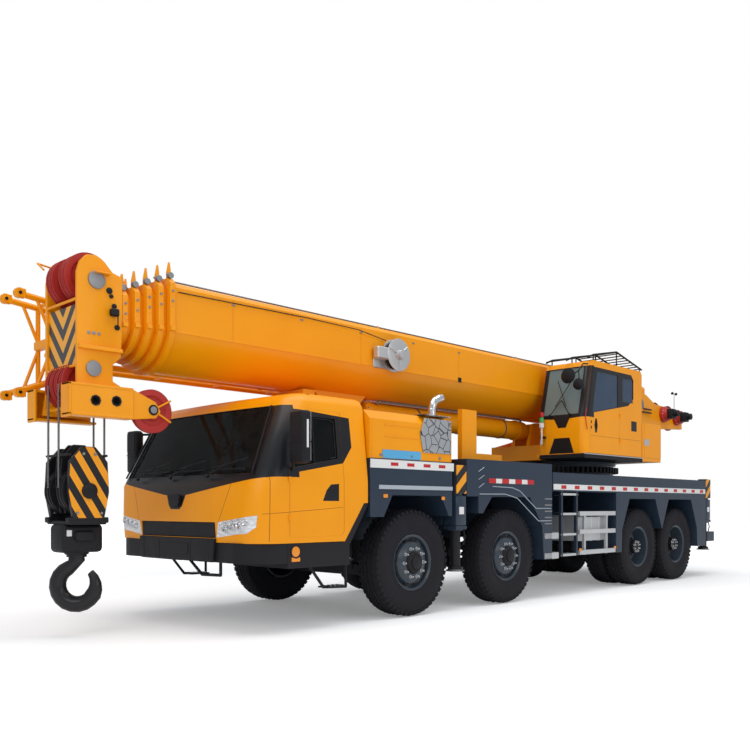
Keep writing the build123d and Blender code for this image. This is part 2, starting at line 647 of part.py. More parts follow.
def operator_windows(gap):
    """Panes of the operator cab, each made smaller by a gap: front, inner side, rear and rear quarter."""
    with BuildPart(mode=Mode.PRIVATE) as cuts:
        block(-1700 + gap, -1100, OP_Y0 + 70 + gap, OP_Y1 - 70 - gap, 2600 + gap, OP_Z1 - 110 - gap)
        block(-2700 + gap, -1750 - gap, OP_Y0 - 50, OP_Y0 + 100, 2700 + gap, 3230 - gap)
        block(OP_REAR_X - 50, OP_REAR_X + 100, OP_Y0 + 120 + gap, OP_Y1 - 120 - gap, 2750 + gap, 3100 - gap)
        block(-2760 + gap, -2360 - gap, OP_Y1 - 100, OP_Y1 + 50, 2740 + gap, 3200 - gap)
    return cuts.part


def operator_door_outline(gap):
    """Outline of the operator cab door as (X, Z) points, made smaller by a gap."""
    return [(OP_DOOR_REAR_X + gap, OP_Z0 + 70 + gap), (OP_DOOR_FRONT_X - gap, OP_Z0 + 70 + gap),
            (OP_DOOR_FRONT_X - gap, 2600), (-1660 - gap, 3330 - gap), (OP_DOOR_REAR_X + gap, 3280 - gap)]


OPERATOR_SHELL = operator_body(0) - operator_body(OP_WALL)
OPERATOR_GLAZING = operator_body(8) - operator_body(16)
with BuildPart() as operator_cab:
    add(OPERATOR_SHELL)
    add(operator_windows(0), mode=Mode.SUBTRACT)
    add(plate(operator_door_outline(0), OP_Y1 - 200, OP_Y1 + 100), mode=Mode.SUBTRACT)
    for z in OP_HINGE_Z:
        add(hinge_knuckles(OP_DOOR_REAR_X + RUN / 2, OP_Y1 + HINGE_OUT, z, -50, 60, FIT, False))
operator_cab.part.label = "operator_cab"
export_step(operator_cab.part, "parts/operator_cab.step")

with BuildPart() as operator_glass:
    add(OPERATOR_GLAZING)
    add(operator_windows(FIT), mode=Mode.INTERSECT)
operator_glass.part.label = "operator_glass"
export_step(operator_glass.part, "parts/operator_glass.step")

with BuildPart() as operator_door:
    add(OPERATOR_SHELL)
    add(plate(operator_door_outline(RUN), OP_Y1 - 60, OP_Y1 + 100), mode=Mode.INTERSECT)
    add(plate([(OP_DOOR_REAR_X + 80, 2740), (OP_DOOR_FRONT_X - 80, 2620), (-1690, 3250), (OP_DOOR_REAR_X + 80, 3200)],
              OP_Y1 - 200, OP_Y1 + 100), mode=Mode.SUBTRACT)
    for z in OP_HINGE_Z:
        add(hinge_knuckles(OP_DOOR_REAR_X + RUN / 2, OP_Y1 + HINGE_OUT, z, 50, 60, FIT, True))
operator_door.part.label = "operator_door"
export_step(operator_door.part, "parts/operator_door.step")

with BuildPart() as operator_seat:
    floor = OP_Z0 + OP_WALL
    block(-2500, -2100, 830, 1160, floor, 2420)
    block(-2560, -2040, 770, 1220, 2420, 2560)
    block(-2660, -2540, 780, 1210, 2500, 3120)
    block(-1420, -1300, 720, 1280, floor, 2500)
operator_seat.part.label = "operator_seat"
export_step(operator_seat.part, "parts/operator_seat.step")


# ---------------------------------------------------------------- boom
def boom_form(x0, x1, shrink):
    """Solid boom form between two X planes: flat top, straight sides and a round belly, smaller by shrink all round."""
    half = BOOM_HALF - shrink
    top = BOOM_TOP_Z - shrink
    with BuildPart(mode=Mode.PRIVATE) as body:
        with BuildSketch(Plane.YZ.offset(x0)):
            with BuildLine():
                Polyline((half, BOOM_SEAM_Z), (half, top - 50), (half - 50, top), (50 - half, top),
                         (-half, top - 50), (-half, BOOM_SEAM_Z))
                ThreePointArc((-half, BOOM_SEAM_Z), (0, BOOM_BELLY_Z + shrink), (half, BOOM_SEAM_Z))
            make_face()
        extrude(amount=x1 - x0)
    return body.part


def section_front(number):
    """Front plane of a boom section, counted from the base section as 0."""
    return BOOM_FRONT_X + number * COLLAR_PITCH


def section_shape(number):
    """One open boom section with its front collar, which guides the next section."""
    shrink = number * SECTION_STEP
    rear = BOOM_REAR_X if number == 0 else BOOM_REAR_X + 560 + 40 * number
    front = section_front(number) if number < SECTIONS - 1 else HEAD_X0
    tube = boom_form(rear, front, shrink) - boom_form(rear - 1, front + 1, shrink + BOOM_WALL)
    if number == SECTIONS - 1:
        return tube
    ring = (boom_form(front - 60, front, shrink - COLLAR_LIP)
            - boom_form(front - 61, front + 1, shrink + SECTION_STEP - 0.5))
    return tube + ring


COLLAR_DEPTH = 60
with BuildPart() as boom_base:
    add(boom_form(BOOM_REAR_X, BOOM_FRONT_X - COLLAR_DEPTH, 0))
    for side in (1, -1):
        y0, y1 = sorted((side * BOOM_HALF, side * (CHEEK_IN - 5)))
        cross_bar(FOOT_PIN_X, FOOT_PIN_Z, y0, y1, 150)
    add(boom_form(BOOM_REAR_X - 1, BOOM_FRONT_X, BOOM_WALL), mode=Mode.SUBTRACT)
    cross_bar(FOOT_PIN_X, FOOT_PIN_Z, -CHEEK_IN, CHEEK_IN, FOOT_PIN_R + FIT, Mode.SUBTRACT)
    for x in (4300, -1200):
        block(x - 40, x + 40, -560, -BOOM_HALF, 2990, 3050)
boom_base.part.label = "boom_base"
export_step(boom_base.part, "parts/boom_base.step")

with BuildPart() as base_collar:
    add(boom_form(BOOM_FRONT_X - COLLAR_DEPTH, BOOM_FRONT_X, -COLLAR_LIP))
    add(boom_form(BOOM_FRONT_X - COLLAR_DEPTH - 1, BOOM_FRONT_X + 1, SECTION_STEP - 0.5), mode=Mode.SUBTRACT)
base_collar.part.label = "base_collar"
export_step(base_collar.part, "parts/base_collar.step")

# Two plates under the base section carry the eye of the luffing cylinder's rod
BRACKET_Y = [118, 160]
EYE_PIN_R = 60
with BuildPart() as cylinder_bracket:
    for side in (1, -1):
        y0, y1 = sorted(side * y for y in BRACKET_Y)
        add(plate([(CYL_EYE_X - 110, CYL_Z - 100), (CYL_EYE_X + 110, CYL_Z - 100), (CYL_EYE_X + 480, BOOM_BELLY_Z + 10),
                   (CYL_EYE_X + 480, BOOM_BELLY_Z + 70), (CYL_EYE_X - 380, BOOM_BELLY_Z + 70),
                   (CYL_EYE_X - 380, BOOM_BELLY_Z + 10)], y0, y1))
    add(boom_form(BOOM_REAR_X, BOOM_FRONT_X, -FIT), mode=Mode.SUBTRACT)
    cross_bar(CYL_EYE_X, CYL_Z, -BRACKET_Y[1] - 1, BRACKET_Y[1] + 1, EYE_PIN_R, Mode.SUBTRACT)
cylinder_bracket.part.label = "cylinder_bracket"
export_step(cylinder_bracket.part, "parts/cylinder_bracket.step")

for number in range(1, SECTIONS - 1):
    with BuildPart() as section:
        add(section_shape(number))
    section.part.label = f"boom_section_{number + 1}"
    export_step(section.part, f"parts/boom_section_{number + 1}.step")

HEAD = [(5620, 2870), (5620, 3280), (5680, 3560), (6000, 3600), (6090, 3450), (6100, 2900), (6200, 2600), (6200, 2150),
        (5600, 2150), (5600, 2400), (5700, 2640), (5700, 2870)]
with BuildPart() as boom_head:
    add(section_shape(SECTIONS - 1))
    for side in (1, -1):
        y0, y1 = sorted((side * 300, side * HEAD_HALF))
        add(plate(HEAD, y0, y1))

    block(HEAD_X0 - 20, HEAD_X0, -HEAD_HALF, HEAD_HALF, 2870, 3280)
    block(6070, 6100, -HEAD_HALF, HEAD_HALF, 2720, 3130)
    block(6175, 6200, -HEAD_HALF, HEAD_HALF, 2150, 2380)
    cross_bar(SHEAVE_X, SHEAVE_Z, -HEAD_HALF, HEAD_HALF, 40)
    cross_bar(HOOK_X, LOW_SHEAVE_Z, -HEAD_HALF, HEAD_HALF, 40)
boom_head.part.label = "boom_section_6"
export_step(boom_head.part, "parts/boom_section_6.step")

with BuildPart() as head_sheaves:
    for y in FALL_Y:
        cross_bar(SHEAVE_X, SHEAVE_Z, y - 25, y + 25, SHEAVE_R)
        cross_bar(HOOK_X, LOW_SHEAVE_Z, y - 25, y + 25, LOW_SHEAVE_R)
    cross_bar(SHEAVE_X, SHEAVE_Z, -300, 300, 70)
    cross_bar(HOOK_X, LOW_SHEAVE_Z, -300, 300, 70)
    cross_bar(SHEAVE_X, SHEAVE_Z, -301, 301, 40 + FIT, Mode.SUBTRACT)
    cross_bar(HOOK_X, LOW_SHEAVE_Z, -301, 301, 40 + FIT, Mode.SUBTRACT)
head_sheaves.part.label = "head_sheaves"
export_step(head_sheaves.part, "parts/head_sheaves.step")

# Lattice jib folded along the right side of the boom
JIB_Y = [-960, -620]
JIB_Z = [2760, 3280]
JIB_X0 = -2000
JIB_X1 = 5300
JIB_BAYS = 9
with BuildPart() as jib:
    for y in JIB_Y:
        for z in JIB_Z:
            long_bar(y, z, JIB_X0, JIB_X1, 32)
        add(rod_between((JIB_X1 - 20, y, JIB_Z[1]), (6230, y, 3390), 32))
        add(rod_between((JIB_X1 - 20, y, JIB_Z[0]), (6230, y, 2400), 32))
        for z in (3390, 2400):
            cross_bar(6200, z, y - 30, y + 30, 50)
    pitch = (JIB_X1 - JIB_X0) / JIB_BAYS
    for bay in range(JIB_BAYS + 1):
        x = JIB_X0 + bay * pitch
        x = min(max(x, JIB_X0 + 20), JIB_X1 - 20)
        for y in JIB_Y:
            add(rod_between((x, y, JIB_Z[0]), (x, y, JIB_Z[1]), 18))
        for z in JIB_Z:
            add(rod_between((x, JIB_Y[0], z), (x, JIB_Y[1], z), 18))
    for bay in range(JIB_BAYS):
        x = JIB_X0 + bay * pitch
        low, high = (JIB_Z[0], JIB_Z[1]) if bay % 2 else (JIB_Z[1], JIB_Z[0])
        for y in JIB_Y:
            add(rod_between((x + 20, y, low), (x + pitch - 20, y, high), 18))
    for x in (4300, -1200):
        block(x - 40, x + 40, -640, -560, 2740, 3300)
jib.part.label = "jib"
export_step(jib.part, "parts/jib.step")

# ---------------------------------------------------------------- luffing cylinder
BARREL_FRONT_X = CYL_EYE_X - 450
with BuildPart() as luffing_cylinder:
    long_bar(0, CYL_Z, CYL_FOOT_X + 60, CYL_FOOT_X + 240, 100)
    long_bar(0, CYL_Z, CYL_FOOT_X + 220, BARREL_FRONT_X, CYL_R)
    long_bar(0, CYL_Z, CYL_FOOT_X + 250, BARREL_FRONT_X - 60, CYL_R - 24, Mode.SUBTRACT)
    long_bar(0, CYL_Z, BARREL_FRONT_X - 61, BARREL_FRONT_X + 1, ROD_R + FIT, Mode.SUBTRACT)
    cross_bar(CYL_FOOT_X, CYL_Z, -104, 104, EYE_R)
    cross_bar(CYL_FOOT_X, CYL_Z, -105, 105, 60 + FIT, Mode.SUBTRACT)
luffing_cylinder.part.label = "luffing_cylinder"
export_step(luffing_cylinder.part, "parts/luffing_cylinder.step")

with BuildPart() as luffing_rod:
    long_bar(0, CYL_Z, CYL_FOOT_X + 280, CYL_EYE_X - 60, ROD_R)
    cross_bar(CYL_EYE_X, CYL_Z, -104, 104, EYE_R)
    cross_bar(CYL_EYE_X, CYL_Z, -105, 105, EYE_PIN_R, Mode.SUBTRACT)
luffing_rod.part.label = "luffing_rod"
export_step(luffing_rod.part, "parts/luffing_rod.step")

# ---------------------------------------------------------------- hoist ropes and hook block
FALL_OFFSET = LOW_SHEAVE_R + ROPE_R + 0.5
BLOCK_SHEAVE_Z = 1300
with BuildPart() as hoist_ropes:
    for y in FALL_Y:
        for direction in (-1, 1):
            post(HOOK_X + direction * FALL_OFFSET, y, BLOCK_SHEAVE_Z, LOW_SHEAVE_Z, ROPE_R)
hoist_ropes.part.label = "hoist_ropes"
export_step(hoist_ropes.part, "parts/hoist_ropes.step")

with BuildPart() as hook_block:
    for y in FALL_Y:
        cross_bar(HOOK_X, BLOCK_SHEAVE_Z, y - 25, y + 25, LOW_SHEAVE_R)
    cross_bar(HOOK_X, BLOCK_SHEAVE_Z, -290, 290, 60)
    for side in (1, -1):
        y0, y1 = sorted((side * 150, side * 250))
        add(plate([(5650, 1780), (6150, 1780), (6200, 1300), (6060, 800), (5740, 800), (5600, 1300)], y0, y1))
    block(5760, 6040, -150, 150, 800, 960)
    post(HOOK_X, 0, 700, 1000, 62 + FIT, Mode.SUBTRACT)
hook_block.part.label = "hook_block"
export_step(hook_block.part, "parts/hook_block.step")

HOOK_MID_Z = HOOK_TIP_Z + 240
with BuildPart() as hook:
    with BuildSketch(Plane((0, 55, 0), x_dir=(1, 0, 0), z_dir=(0, -1, 0))):
        with Locations((HOOK_X, HOOK_MID_Z)):
            Circle(240)
        with Locations((HOOK_X, HOOK_MID_Z + 20)):
            Circle(135, mode=Mode.SUBTRACT)
        with Locations((HOOK_X - 190, HOOK_MID_Z + 150)):
            Rectangle(300, 180, mode=Mode.SUBTRACT)
        with Locations((HOOK_X, 735)):
            Rectangle(150, 130)
    extrude(amount=110)
    post(HOOK_X, 0, 700, 960, 62)
    post(HOOK_X, 0, 960, 990, 62)
hook.part.label = "hook"
export_step(hook.part, "parts/hook.step")
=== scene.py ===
from math import cos, pi, radians, sin, sqrt, tau

import bmesh
import bpy
from mathutils import Matrix, Vector


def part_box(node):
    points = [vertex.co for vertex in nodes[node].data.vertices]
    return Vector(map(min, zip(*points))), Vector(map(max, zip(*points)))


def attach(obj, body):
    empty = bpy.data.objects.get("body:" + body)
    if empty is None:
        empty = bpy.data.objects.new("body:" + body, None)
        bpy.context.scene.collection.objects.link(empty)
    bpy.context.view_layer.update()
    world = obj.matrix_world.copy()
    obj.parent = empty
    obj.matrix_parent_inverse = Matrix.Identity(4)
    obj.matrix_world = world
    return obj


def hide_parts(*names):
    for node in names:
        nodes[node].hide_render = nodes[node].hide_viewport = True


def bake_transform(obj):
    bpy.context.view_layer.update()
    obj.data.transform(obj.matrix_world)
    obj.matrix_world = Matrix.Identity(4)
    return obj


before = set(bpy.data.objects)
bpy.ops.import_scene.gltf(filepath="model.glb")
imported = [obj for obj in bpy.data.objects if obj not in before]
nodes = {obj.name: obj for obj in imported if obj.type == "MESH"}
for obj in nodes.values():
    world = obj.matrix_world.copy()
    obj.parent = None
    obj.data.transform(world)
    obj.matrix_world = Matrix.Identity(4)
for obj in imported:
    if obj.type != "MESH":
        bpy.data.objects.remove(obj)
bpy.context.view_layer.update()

# ---------------------------------------------------------------- studio
# A white floor under an even white sky, with broad soft boxes overhead, ahead and at the left.
# The camera stands low ahead of the cab's left corner, level, as a person would.
stage_camera = bpy.data.cameras.new("stage_camera")
stage_camera.sensor_width = 36
stage_camera.lens = 39.98
stage_camera.shift_y = 0.1764
stage_camera.clip_end = 200
camera_stand = bpy.data.objects.new("camera_stand", stage_camera)
bpy.context.scene.collection.objects.link(camera_stand)
camera_stand.location = (9.64, 7.716, 1.255)
camera_stand.rotation_euler = (radians(90), 0, radians(134.43))
bpy.context.scene.camera = camera_stand
bpy.context.scene.view_settings.view_transform = "Standard"


def fill(node, values):
    """Sets a shader node's inputs by name or place: numbers, colours, or another node's outputs."""
    for key, value in values.items():
        socket = node.inputs[key]
        if isinstance(value, bpy.types.NodeSocket):
            socket.id_data.links.new(value, socket)
        elif isinstance(value, tuple) and socket.type == "RGBA":
            socket.default_value = (*value, 1)
        else:
            socket.default_value = value


def shader_node(tree, kind, values=None, **settings):
    """New shader node with its settings and inputs."""
    node = tree.nodes.new("ShaderNode" + kind)
    for name, setting in settings.items():
        setattr(node, name, setting)
    fill(node, values or {})
    return node


sky = bpy.data.worlds.new("studio_sky")
bpy.context.scene.world = sky
sky.use_nodes = True
tree = sky.node_tree
tree.nodes.clear()
rays = shader_node(tree, "LightPath").outputs
seen = shader_node(tree, "Math", {0: rays["Is Camera Ray"], 1: rays["Is Transmission Ray"]},
                   operation="MAXIMUM")
light = shader_node(tree, "Background", {"Color": (0.93, 0.96, 1), "Strength": 0.52})
white = shader_node(tree, "Background", {"Color": (1, 1, 1)})
both = shader_node(tree, "MixShader", {"Fac": seen.outputs[0], 1: light.outputs[0], 2: white.outputs[0]})
shader_node(tree, "OutputWorld", {"Surface": both.outputs[0]})


def soft_box(name, place, aim, width, depth, power):
    """Area lamp at a place, turned to a point."""
    lamp = bpy.data.lights.new(name, "AREA")
    lamp.shape = "RECTANGLE"
    lamp.size = width
    lamp.size_y = depth
    lamp.energy = power
    holder = bpy.data.objects.new(name, lamp)
    bpy.context.scene.collection.objects.link(holder)
    holder.location = place
    holder.rotation_euler = (Vector(aim) - Vector(place)).to_track_quat("-Z", "Y").to_euler()


soft_box("overhead_box", (1.5, 2, 13), (0, 0, 1), 14, 9, 1000)
soft_box("front_box", (13, 5, 7), (1, 0, 2), 7, 5, 230)
soft_box("side_box", (2, 15, 6), (0, 0, 1.5), 12, 4, 260)

# the floor shows white to the camera wherever the crane's shadow does not fall
floor_paint = bpy.data.materials.new("floor_paint")
floor_paint.use_nodes = True
tree = floor_paint.node_tree
tree.nodes.clear()
matt = shader_node(tree, "BsdfDiffuse", {"Color": (0.95, 0.95, 0.95)})
place = shader_node(tree, "TexCoord").outputs["Object"]
reach = shader_node(tree, "VectorMath", {0: place}, operation="LENGTH").outputs["Value"]
lift = shader_node(tree, "MapRange", {"From Min": 6.5, "From Max": 13, "To Min": 0.22, "To Max": 0.75,
                                      "Value": reach})
direct = shader_node(tree, "LightPath").outputs["Is Camera Ray"]
share = shader_node(tree, "Math", {0: direct, 1: lift.outputs["Result"]}, operation="MULTIPLY")
glow = shader_node(tree, "Emission", {"Strength": share.outputs[0]})
both = shader_node(tree, "AddShader", {0: matt.outputs[0], 1: glow.outputs[0]})
shader_node(tree, "OutputMaterial", {"Surface": both.outputs[0]})
floor_mesh = bmesh.new()
bmesh.ops.create_grid(floor_mesh, x_segments=1, y_segments=1, size=60)
floor_data = bpy.data.meshes.new("studio_floor")
floor_mesh.to_mesh(floor_data)
studio_floor = bpy.data.objects.new("studio_floor", floor_data)
bpy.context.scene.collection.objects.link(studio_floor)
floor_data.materials.append(floor_paint)


# ---------------------------------------------------------------- carrier frame and panels
# Welded steel frame, fenders and deck, sprayed dark slate blue; the upper works are sprayed orange.
# The paint mottles a little, dulls with road dust low down and rubs to a duller tone at edges.
def maths(kind, a, b=None):
    """Math node on a socket and, where it takes one, a second socket or number."""
    return shader_node(a.id_data, "Math", {0: a} if b is None else {0: a, 1: b}, operation=kind).outputs[0]


def times(a, b):
    """Product."""
    return maths("MULTIPLY", a, b)


def plus(a, b):
    """Sum."""
    return maths("ADD", a, b)


def past(a, limit):
    """1 where a is over a limit, else 0."""
    return maths("GREATER_THAN", a, limit)


def either(share, *others):
    """1 where any of these shares is 1."""
    for other in others:
        share = maths("MAXIMUM", share, other)
    return share


def blend_colour(share, under, over):
    """Colour mix; the colours are sockets or tuples."""
    return shader_node(share.id_data, "Mix", {"Factor": share, "A": under, "B": over},
                       data_type="RGBA").outputs["Result"]


def grain(place, scale, detail=5):
    """Noise at a scale, as a factor."""
    return shader_node(place.id_data, "TexNoise",
                       {"Scale": scale, "Detail": detail, "Vector": place}).outputs["Fac"]


def spread(value, from_low, from_high, to_low, to_high):
    """A range mapped to another."""
    limits = {"From Min": from_low, "From Max": from_high, "To Min": to_low, "To Max": to_high,
              "Value": value}
    return shader_node(value.id_data, "MapRange", limits).outputs["Result"]


def rectangle(u0, u1, v0, v1):
    """Corners of a rectangle, anticlockwise."""
    return [(u0, v0), (u1, v0), (u1, v1), (u0, v1)]


def inside(u, v, corners):
    """1 within a convex outline of (u, v) corners given anticlockwise, 0 outside."""
    share = None
    for (u0, v0), (u1, v1) in zip(corners, corners[1:] + corners[:1]):
        a, b = v0 - v1, u1 - u0
        clear = past(plus(times(u, a), times(v, b)), a * u0 + b * v0)
        share = clear if share is None else times(share, clear)
    return share


def new_material(name):
    """Material with nodes, its tree, its main shader and the object's own coordinates."""
    material = bpy.data.materials.new(name)
    material.use_nodes = True
    tree = material.node_tree
    return material, tree, tree.nodes["Principled BSDF"], shader_node(tree, "TexCoord").outputs["Object"]


ROAD_DUST = (0.36, 0.33, 0.29)


def painted(name, colour, worn, roughness=0.3, dust=0.25, gloss=0.35, pattern=None, metal=0, wear=0.5):
    """Sprayed finish with soft colour drift, road dust low down, rubbed edges and fine orange peel.

    A pattern is a function of (x, y, z, colour socket) that paints zones of the same sheet another colour.
    """
    material, tree, shader, place = new_material(name)
    x, y, z = shader_node(tree, "SeparateXYZ", {0: place}).outputs
    tone = blend_colour(grain(place, 1.4, 6), tuple(c * 0.88 for c in colour),
                        tuple(min(1, c * 1.08) for c in colour))
    if pattern:
        tone = pattern(x, y, z, tone)
    cloud = grain(place, 6.5, 8)
    tone = blend_colour(times(cloud, spread(z, 0.2, 1.7, dust, dust * 0.1)), tone, ROAD_DUST)
    rounded = shader_node(tree, "Bevel", {"Radius": 0.006}, samples=4).outputs["Normal"]
    flat = shader_node(tree, "NewGeometry").outputs["True Normal"]
    turn = shader_node(tree, "VectorMath", {0: rounded, 1: flat}, operation="DOT_PRODUCT").outputs["Value"]
    tone = blend_colour(times(spread(turn, 0.99, 0.86, 0, wear), cloud), tone, worn)
    fine = grain(place, 150, 2)
    peel = shader_node(tree, "Bump", {"Strength": 0.05, "Distance": 0.002, "Height": fine, "Normal": rounded})
    fill(shader, {"Base Color": tone,
                  "Roughness": spread(cloud, 0, 1, roughness * 0.8, roughness * 1.3 + 0.08),
                  "Normal": peel.outputs["Normal"], "Metallic": metal, "Coat Weight": gloss,
                  "Coat Roughness": 0.1, "Specular IOR Level": 0.5 if metal else 0.25})
    return material


def finish_nodes(material, *names):
    """The material goes into every slot of these CAD nodes."""
    for name in names:
        for held in nodes[name].material_slots:
            held.material = material


SLATE = (0.018, 0.034, 0.06)
ORANGE, FADED_ORANGE = (1, 0.35, 0.001), (0.72, 0.24, 0.005)
TRIM_BLACK, SEAM_AND_CREASE_SHADE = (0.008, 0.009, 0.012), (0.3, 0.1, 0.01)
slate_paint = painted("slate_paint", SLATE, (0.05, 0.08, 0.11), dust=0.07, gloss=0.2)
orange_paint = painted("orange_paint", ORANGE, FADED_ORANGE, dust=0.02, gloss=0.1)
black_paint = painted("black_paint", (0.008, 0.008, 0.011), (0.04, 0.04, 0.04), roughness=0.5, dust=0.03,
                      gloss=0.05)
red_paint = painted("red_paint", (0.45, 0.028, 0.022), (0.2, 0.06, 0.05), roughness=0.4, dust=0.1, gloss=0.1)
silver_paint = painted("silver_paint", (0.62, 0.63, 0.64), (0.35, 0.35, 0.35), roughness=0.32, dust=0.12,
                       gloss=0.1, metal=0.7)
white_paint = painted("white_paint", (0.8, 0.8, 0.79), (0.5, 0.5, 0.5), roughness=0.35, dust=0.1)
warning_red = painted("warning_red", (0.55, 0.012, 0.015), (0.4, 0.1, 0.1), roughness=0.35, dust=0.1)
chrome_plate = painted("chrome_plate", (0.72, 0.73, 0.75), (0.5, 0.5, 0.5), roughness=0.08, dust=0.05,
                       metal=1, wear=0.1)
bare_steel = painted("bare_steel", (0.3, 0.3, 0.31), (0.45, 0.45, 0.45), roughness=0.38, dust=0.1, gloss=0,
                     metal=0.9)
finish_nodes(slate_paint, "chassis_frame", "front_fenders", "rear_deck", "slew_ring")
finish_nodes(orange_paint, "engine_cover", "turntable", "boom_base", "base_collar", "cylinder_bracket", "jib",
             "boom_rest", "luffing_cylinder", *(f"boom_section_{number}" for number in range(2, 6)))
finish_nodes(black_paint, "front_bumper", "axles", "engine")
finish_nodes(red_paint, "winches")


def ladder_zones(x, y, z, tone):
    """Ladder uprights in the carrier's slate paint; rungs, guard bars and tank stay silver."""
    off_rail = maths("ABSOLUTE", maths("SUBTRACT", maths("ABSOLUTE", plus(x, 0.76)), 0.22))
    rails = times(maths("LESS_THAN", off_rail, 0.045), past(maths("ABSOLUTE", y), 1.1))
    return blend_colour(rails, tone, SLATE)


rail_paint = painted("rail_paint", (0.62, 0.63, 0.64), (0.35, 0.35, 0.35), roughness=0.36, dust=0.08,
                     gloss=0.1, pattern=ladder_zones, metal=0.35)
finish_nodes(rail_paint, "side_equipment")
finish_nodes(chrome_plate, "luffing_rod")
for word in ("left", "right"):
    finish_nodes(black_paint, f"knuckle_1_{word}", f"knuckle_2_{word}", f"jack_front_{word}",
                 f"jack_rear_{word}")
    finish_nodes(slate_paint, f"outrigger_beam_front_{word}", f"outrigger_beam_rear_{word}")


# ---------------------------------------------------------------- wheels
# Radial truck tyres with blocky shoulders on steel disc rims: the front discs stand out, the rear ones are
# dished. Each tyre is spun from its section and gets its shoulder blocks in a ring; rim, hub, studs and nuts
# are turned shapes.
def paint_faces(made, paint):
    """The faces of these new vertices take a material slot."""
    for face in {face for vert in made for face in vert.link_faces}:
        face.material_index = paint


def slab(mesh, low, high, paint=0, rounding=0.004, steps=1):
    """Block between two opposite corners with rounded edges."""
    made = bmesh.ops.create_cube(mesh, size=1)["verts"]
    low, high = (Vector(ends) for ends in zip(*(sorted(pair) for pair in zip(low, high))))
    size = high - low
    bmesh.ops.transform(mesh, verts=made,
                        matrix=Matrix.Translation((low + high) / 2) @ Matrix.Diagonal((*size, 1)))
    paint_faces(made, paint)
    if rounding:
        reach = min(rounding, min(abs(s) for s in size) * 0.4)
        edges = list({edge for vert in made for edge in vert.link_edges})
        bmesh.ops.bevel(mesh, geom=edges, offset=reach, affect="EDGES", segments=steps, profile=0.5,
                        material=-1)


def lathe(mesh, profile, centre, axis, steps=48, paint=0):
    """Profile of (along, radius) pairs spun about an axis through a centre; ends on the axis close."""
    aim = Vector(axis).to_track_quat("Z", "Y").to_matrix().to_4x4()
    aim.translation = Vector(centre)
    row = [mesh.verts.new(aim @ Vector((max(radius, 0), 0, along))) for along, radius in profile]
    edges = [mesh.edges.new(pair) for pair in zip(row, row[1:])]
    before = set(mesh.verts) - set(row)
    bmesh.ops.spin(mesh, geom=row + edges, cent=centre, axis=axis, angle=tau, steps=steps, use_merge=True)
    made = [vert for vert in mesh.verts if vert not in before]
    bmesh.ops.remove_doubles(mesh, verts=made, dist=0.00002)
    made = [vert for vert in mesh.verts if vert not in before]
    paint_faces(made, paint)


def rod(mesh, start, end, radius, paint=0, sides=8):
    """Round bar between two points."""
    start, end = Vector(start), Vector(end)
    aim = (end - start).to_track_quat("Z", "Y").to_matrix().to_4x4()
    aim.translation = (start + end) / 2
    made = bmesh.ops.create_cone(mesh, cap_ends=True, segments=sides, radius1=radius, radius2=radius,
                                 depth=(end - start).length, matrix=aim)["verts"]
    paint_faces(made, paint)


def pipe(mesh, points, radius, paint=0, sides=8):
    """Bent bar through points, with a ball at each bend."""
    for start, end in zip(points, points[1:]):
        rod(mesh, start, end, radius, paint, sides)
    for point in points[1:-1]:
        ball = bmesh.ops.create_uvsphere(mesh, u_segments=sides, v_segments=6, radius=radius,
                                         matrix=Matrix.Translation(point))["verts"]
        paint_faces(ball, paint)


def sheet_cut(mesh, outline, thick, turn, paint=0, rounding=0.003):
    """Flat plate of (u, v) corners, as thick as asked, set in place by a matrix."""
    face = mesh.faces.new([mesh.verts.new((u, v, 0)) for u, v in outline])
    grown = bmesh.ops.extrude_face_region(mesh, geom=[face])["geom"]
    top = [item for item in grown if isinstance(item, bmesh.types.BMVert)]
    bmesh.ops.translate(mesh, verts=top, vec=(0, 0, thick))
    made = list(face.verts) + top
    bmesh.ops.transform(mesh, verts=made, matrix=turn)
    paint_faces(made, paint)
    bmesh.ops.recalc_face_normals(mesh, faces=list({f for vert in made for f in vert.link_faces}))
    if rounding:
        edges = list({edge for vert in made for edge in vert.link_edges})
        bmesh.ops.bevel(mesh, geom=edges, offset=rounding, affect="EDGES", segments=1, profile=0.5,
                        material=-1)


# plates that stand along the crane, facing left, and across it, facing forward
ALONG = Matrix(((1, 0, 0, 0), (0, 0, -1, 0), (0, 1, 0, 0), (0, 0, 0, 1)))
ACROSS = Matrix(((0, 0, 1, 0), (1, 0, 0, 0), (0, 1, 0, 0), (0, 0, 0, 1)))


def side_plate(mesh, outline, y, thick, paint=0, rounding=0.003):
    """Plate of (x, z) corners whose outer face lies at y; thick points inward for a left plate."""
    sheet_cut(mesh, outline, thick, Matrix.Translation((0, y, 0)) @ ALONG, paint, rounding)


def cross_plate(mesh, outline, x, thick, paint=0, rounding=0.003):
    """Plate of (y, z) corners whose rear face lies at x."""
    sheet_cut(mesh, outline, thick, Matrix.Translation((x, 0, 0)) @ ACROSS, paint, rounding)


def set_up(name, mesh, body, slot, *materials, hides=(), soft_angle=35):
    """The mesh becomes a piece on a body, smooth where its faces meet gently."""
    bmesh.ops.recalc_face_normals(mesh, faces=mesh.faces)
    data = bpy.data.meshes.new(name)
    mesh.to_mesh(data)
    mesh.free()
    for material in materials:
        data.materials.append(material)
    data.shade_smooth()
    data.set_sharp_from_angle(angle=radians(soft_angle))
    piece = bpy.data.objects.new(name, data)
    bpy.context.scene.collection.objects.link(piece)
    if body:
        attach(piece, body)
    if hides:
        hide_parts(*hides)
    return piece


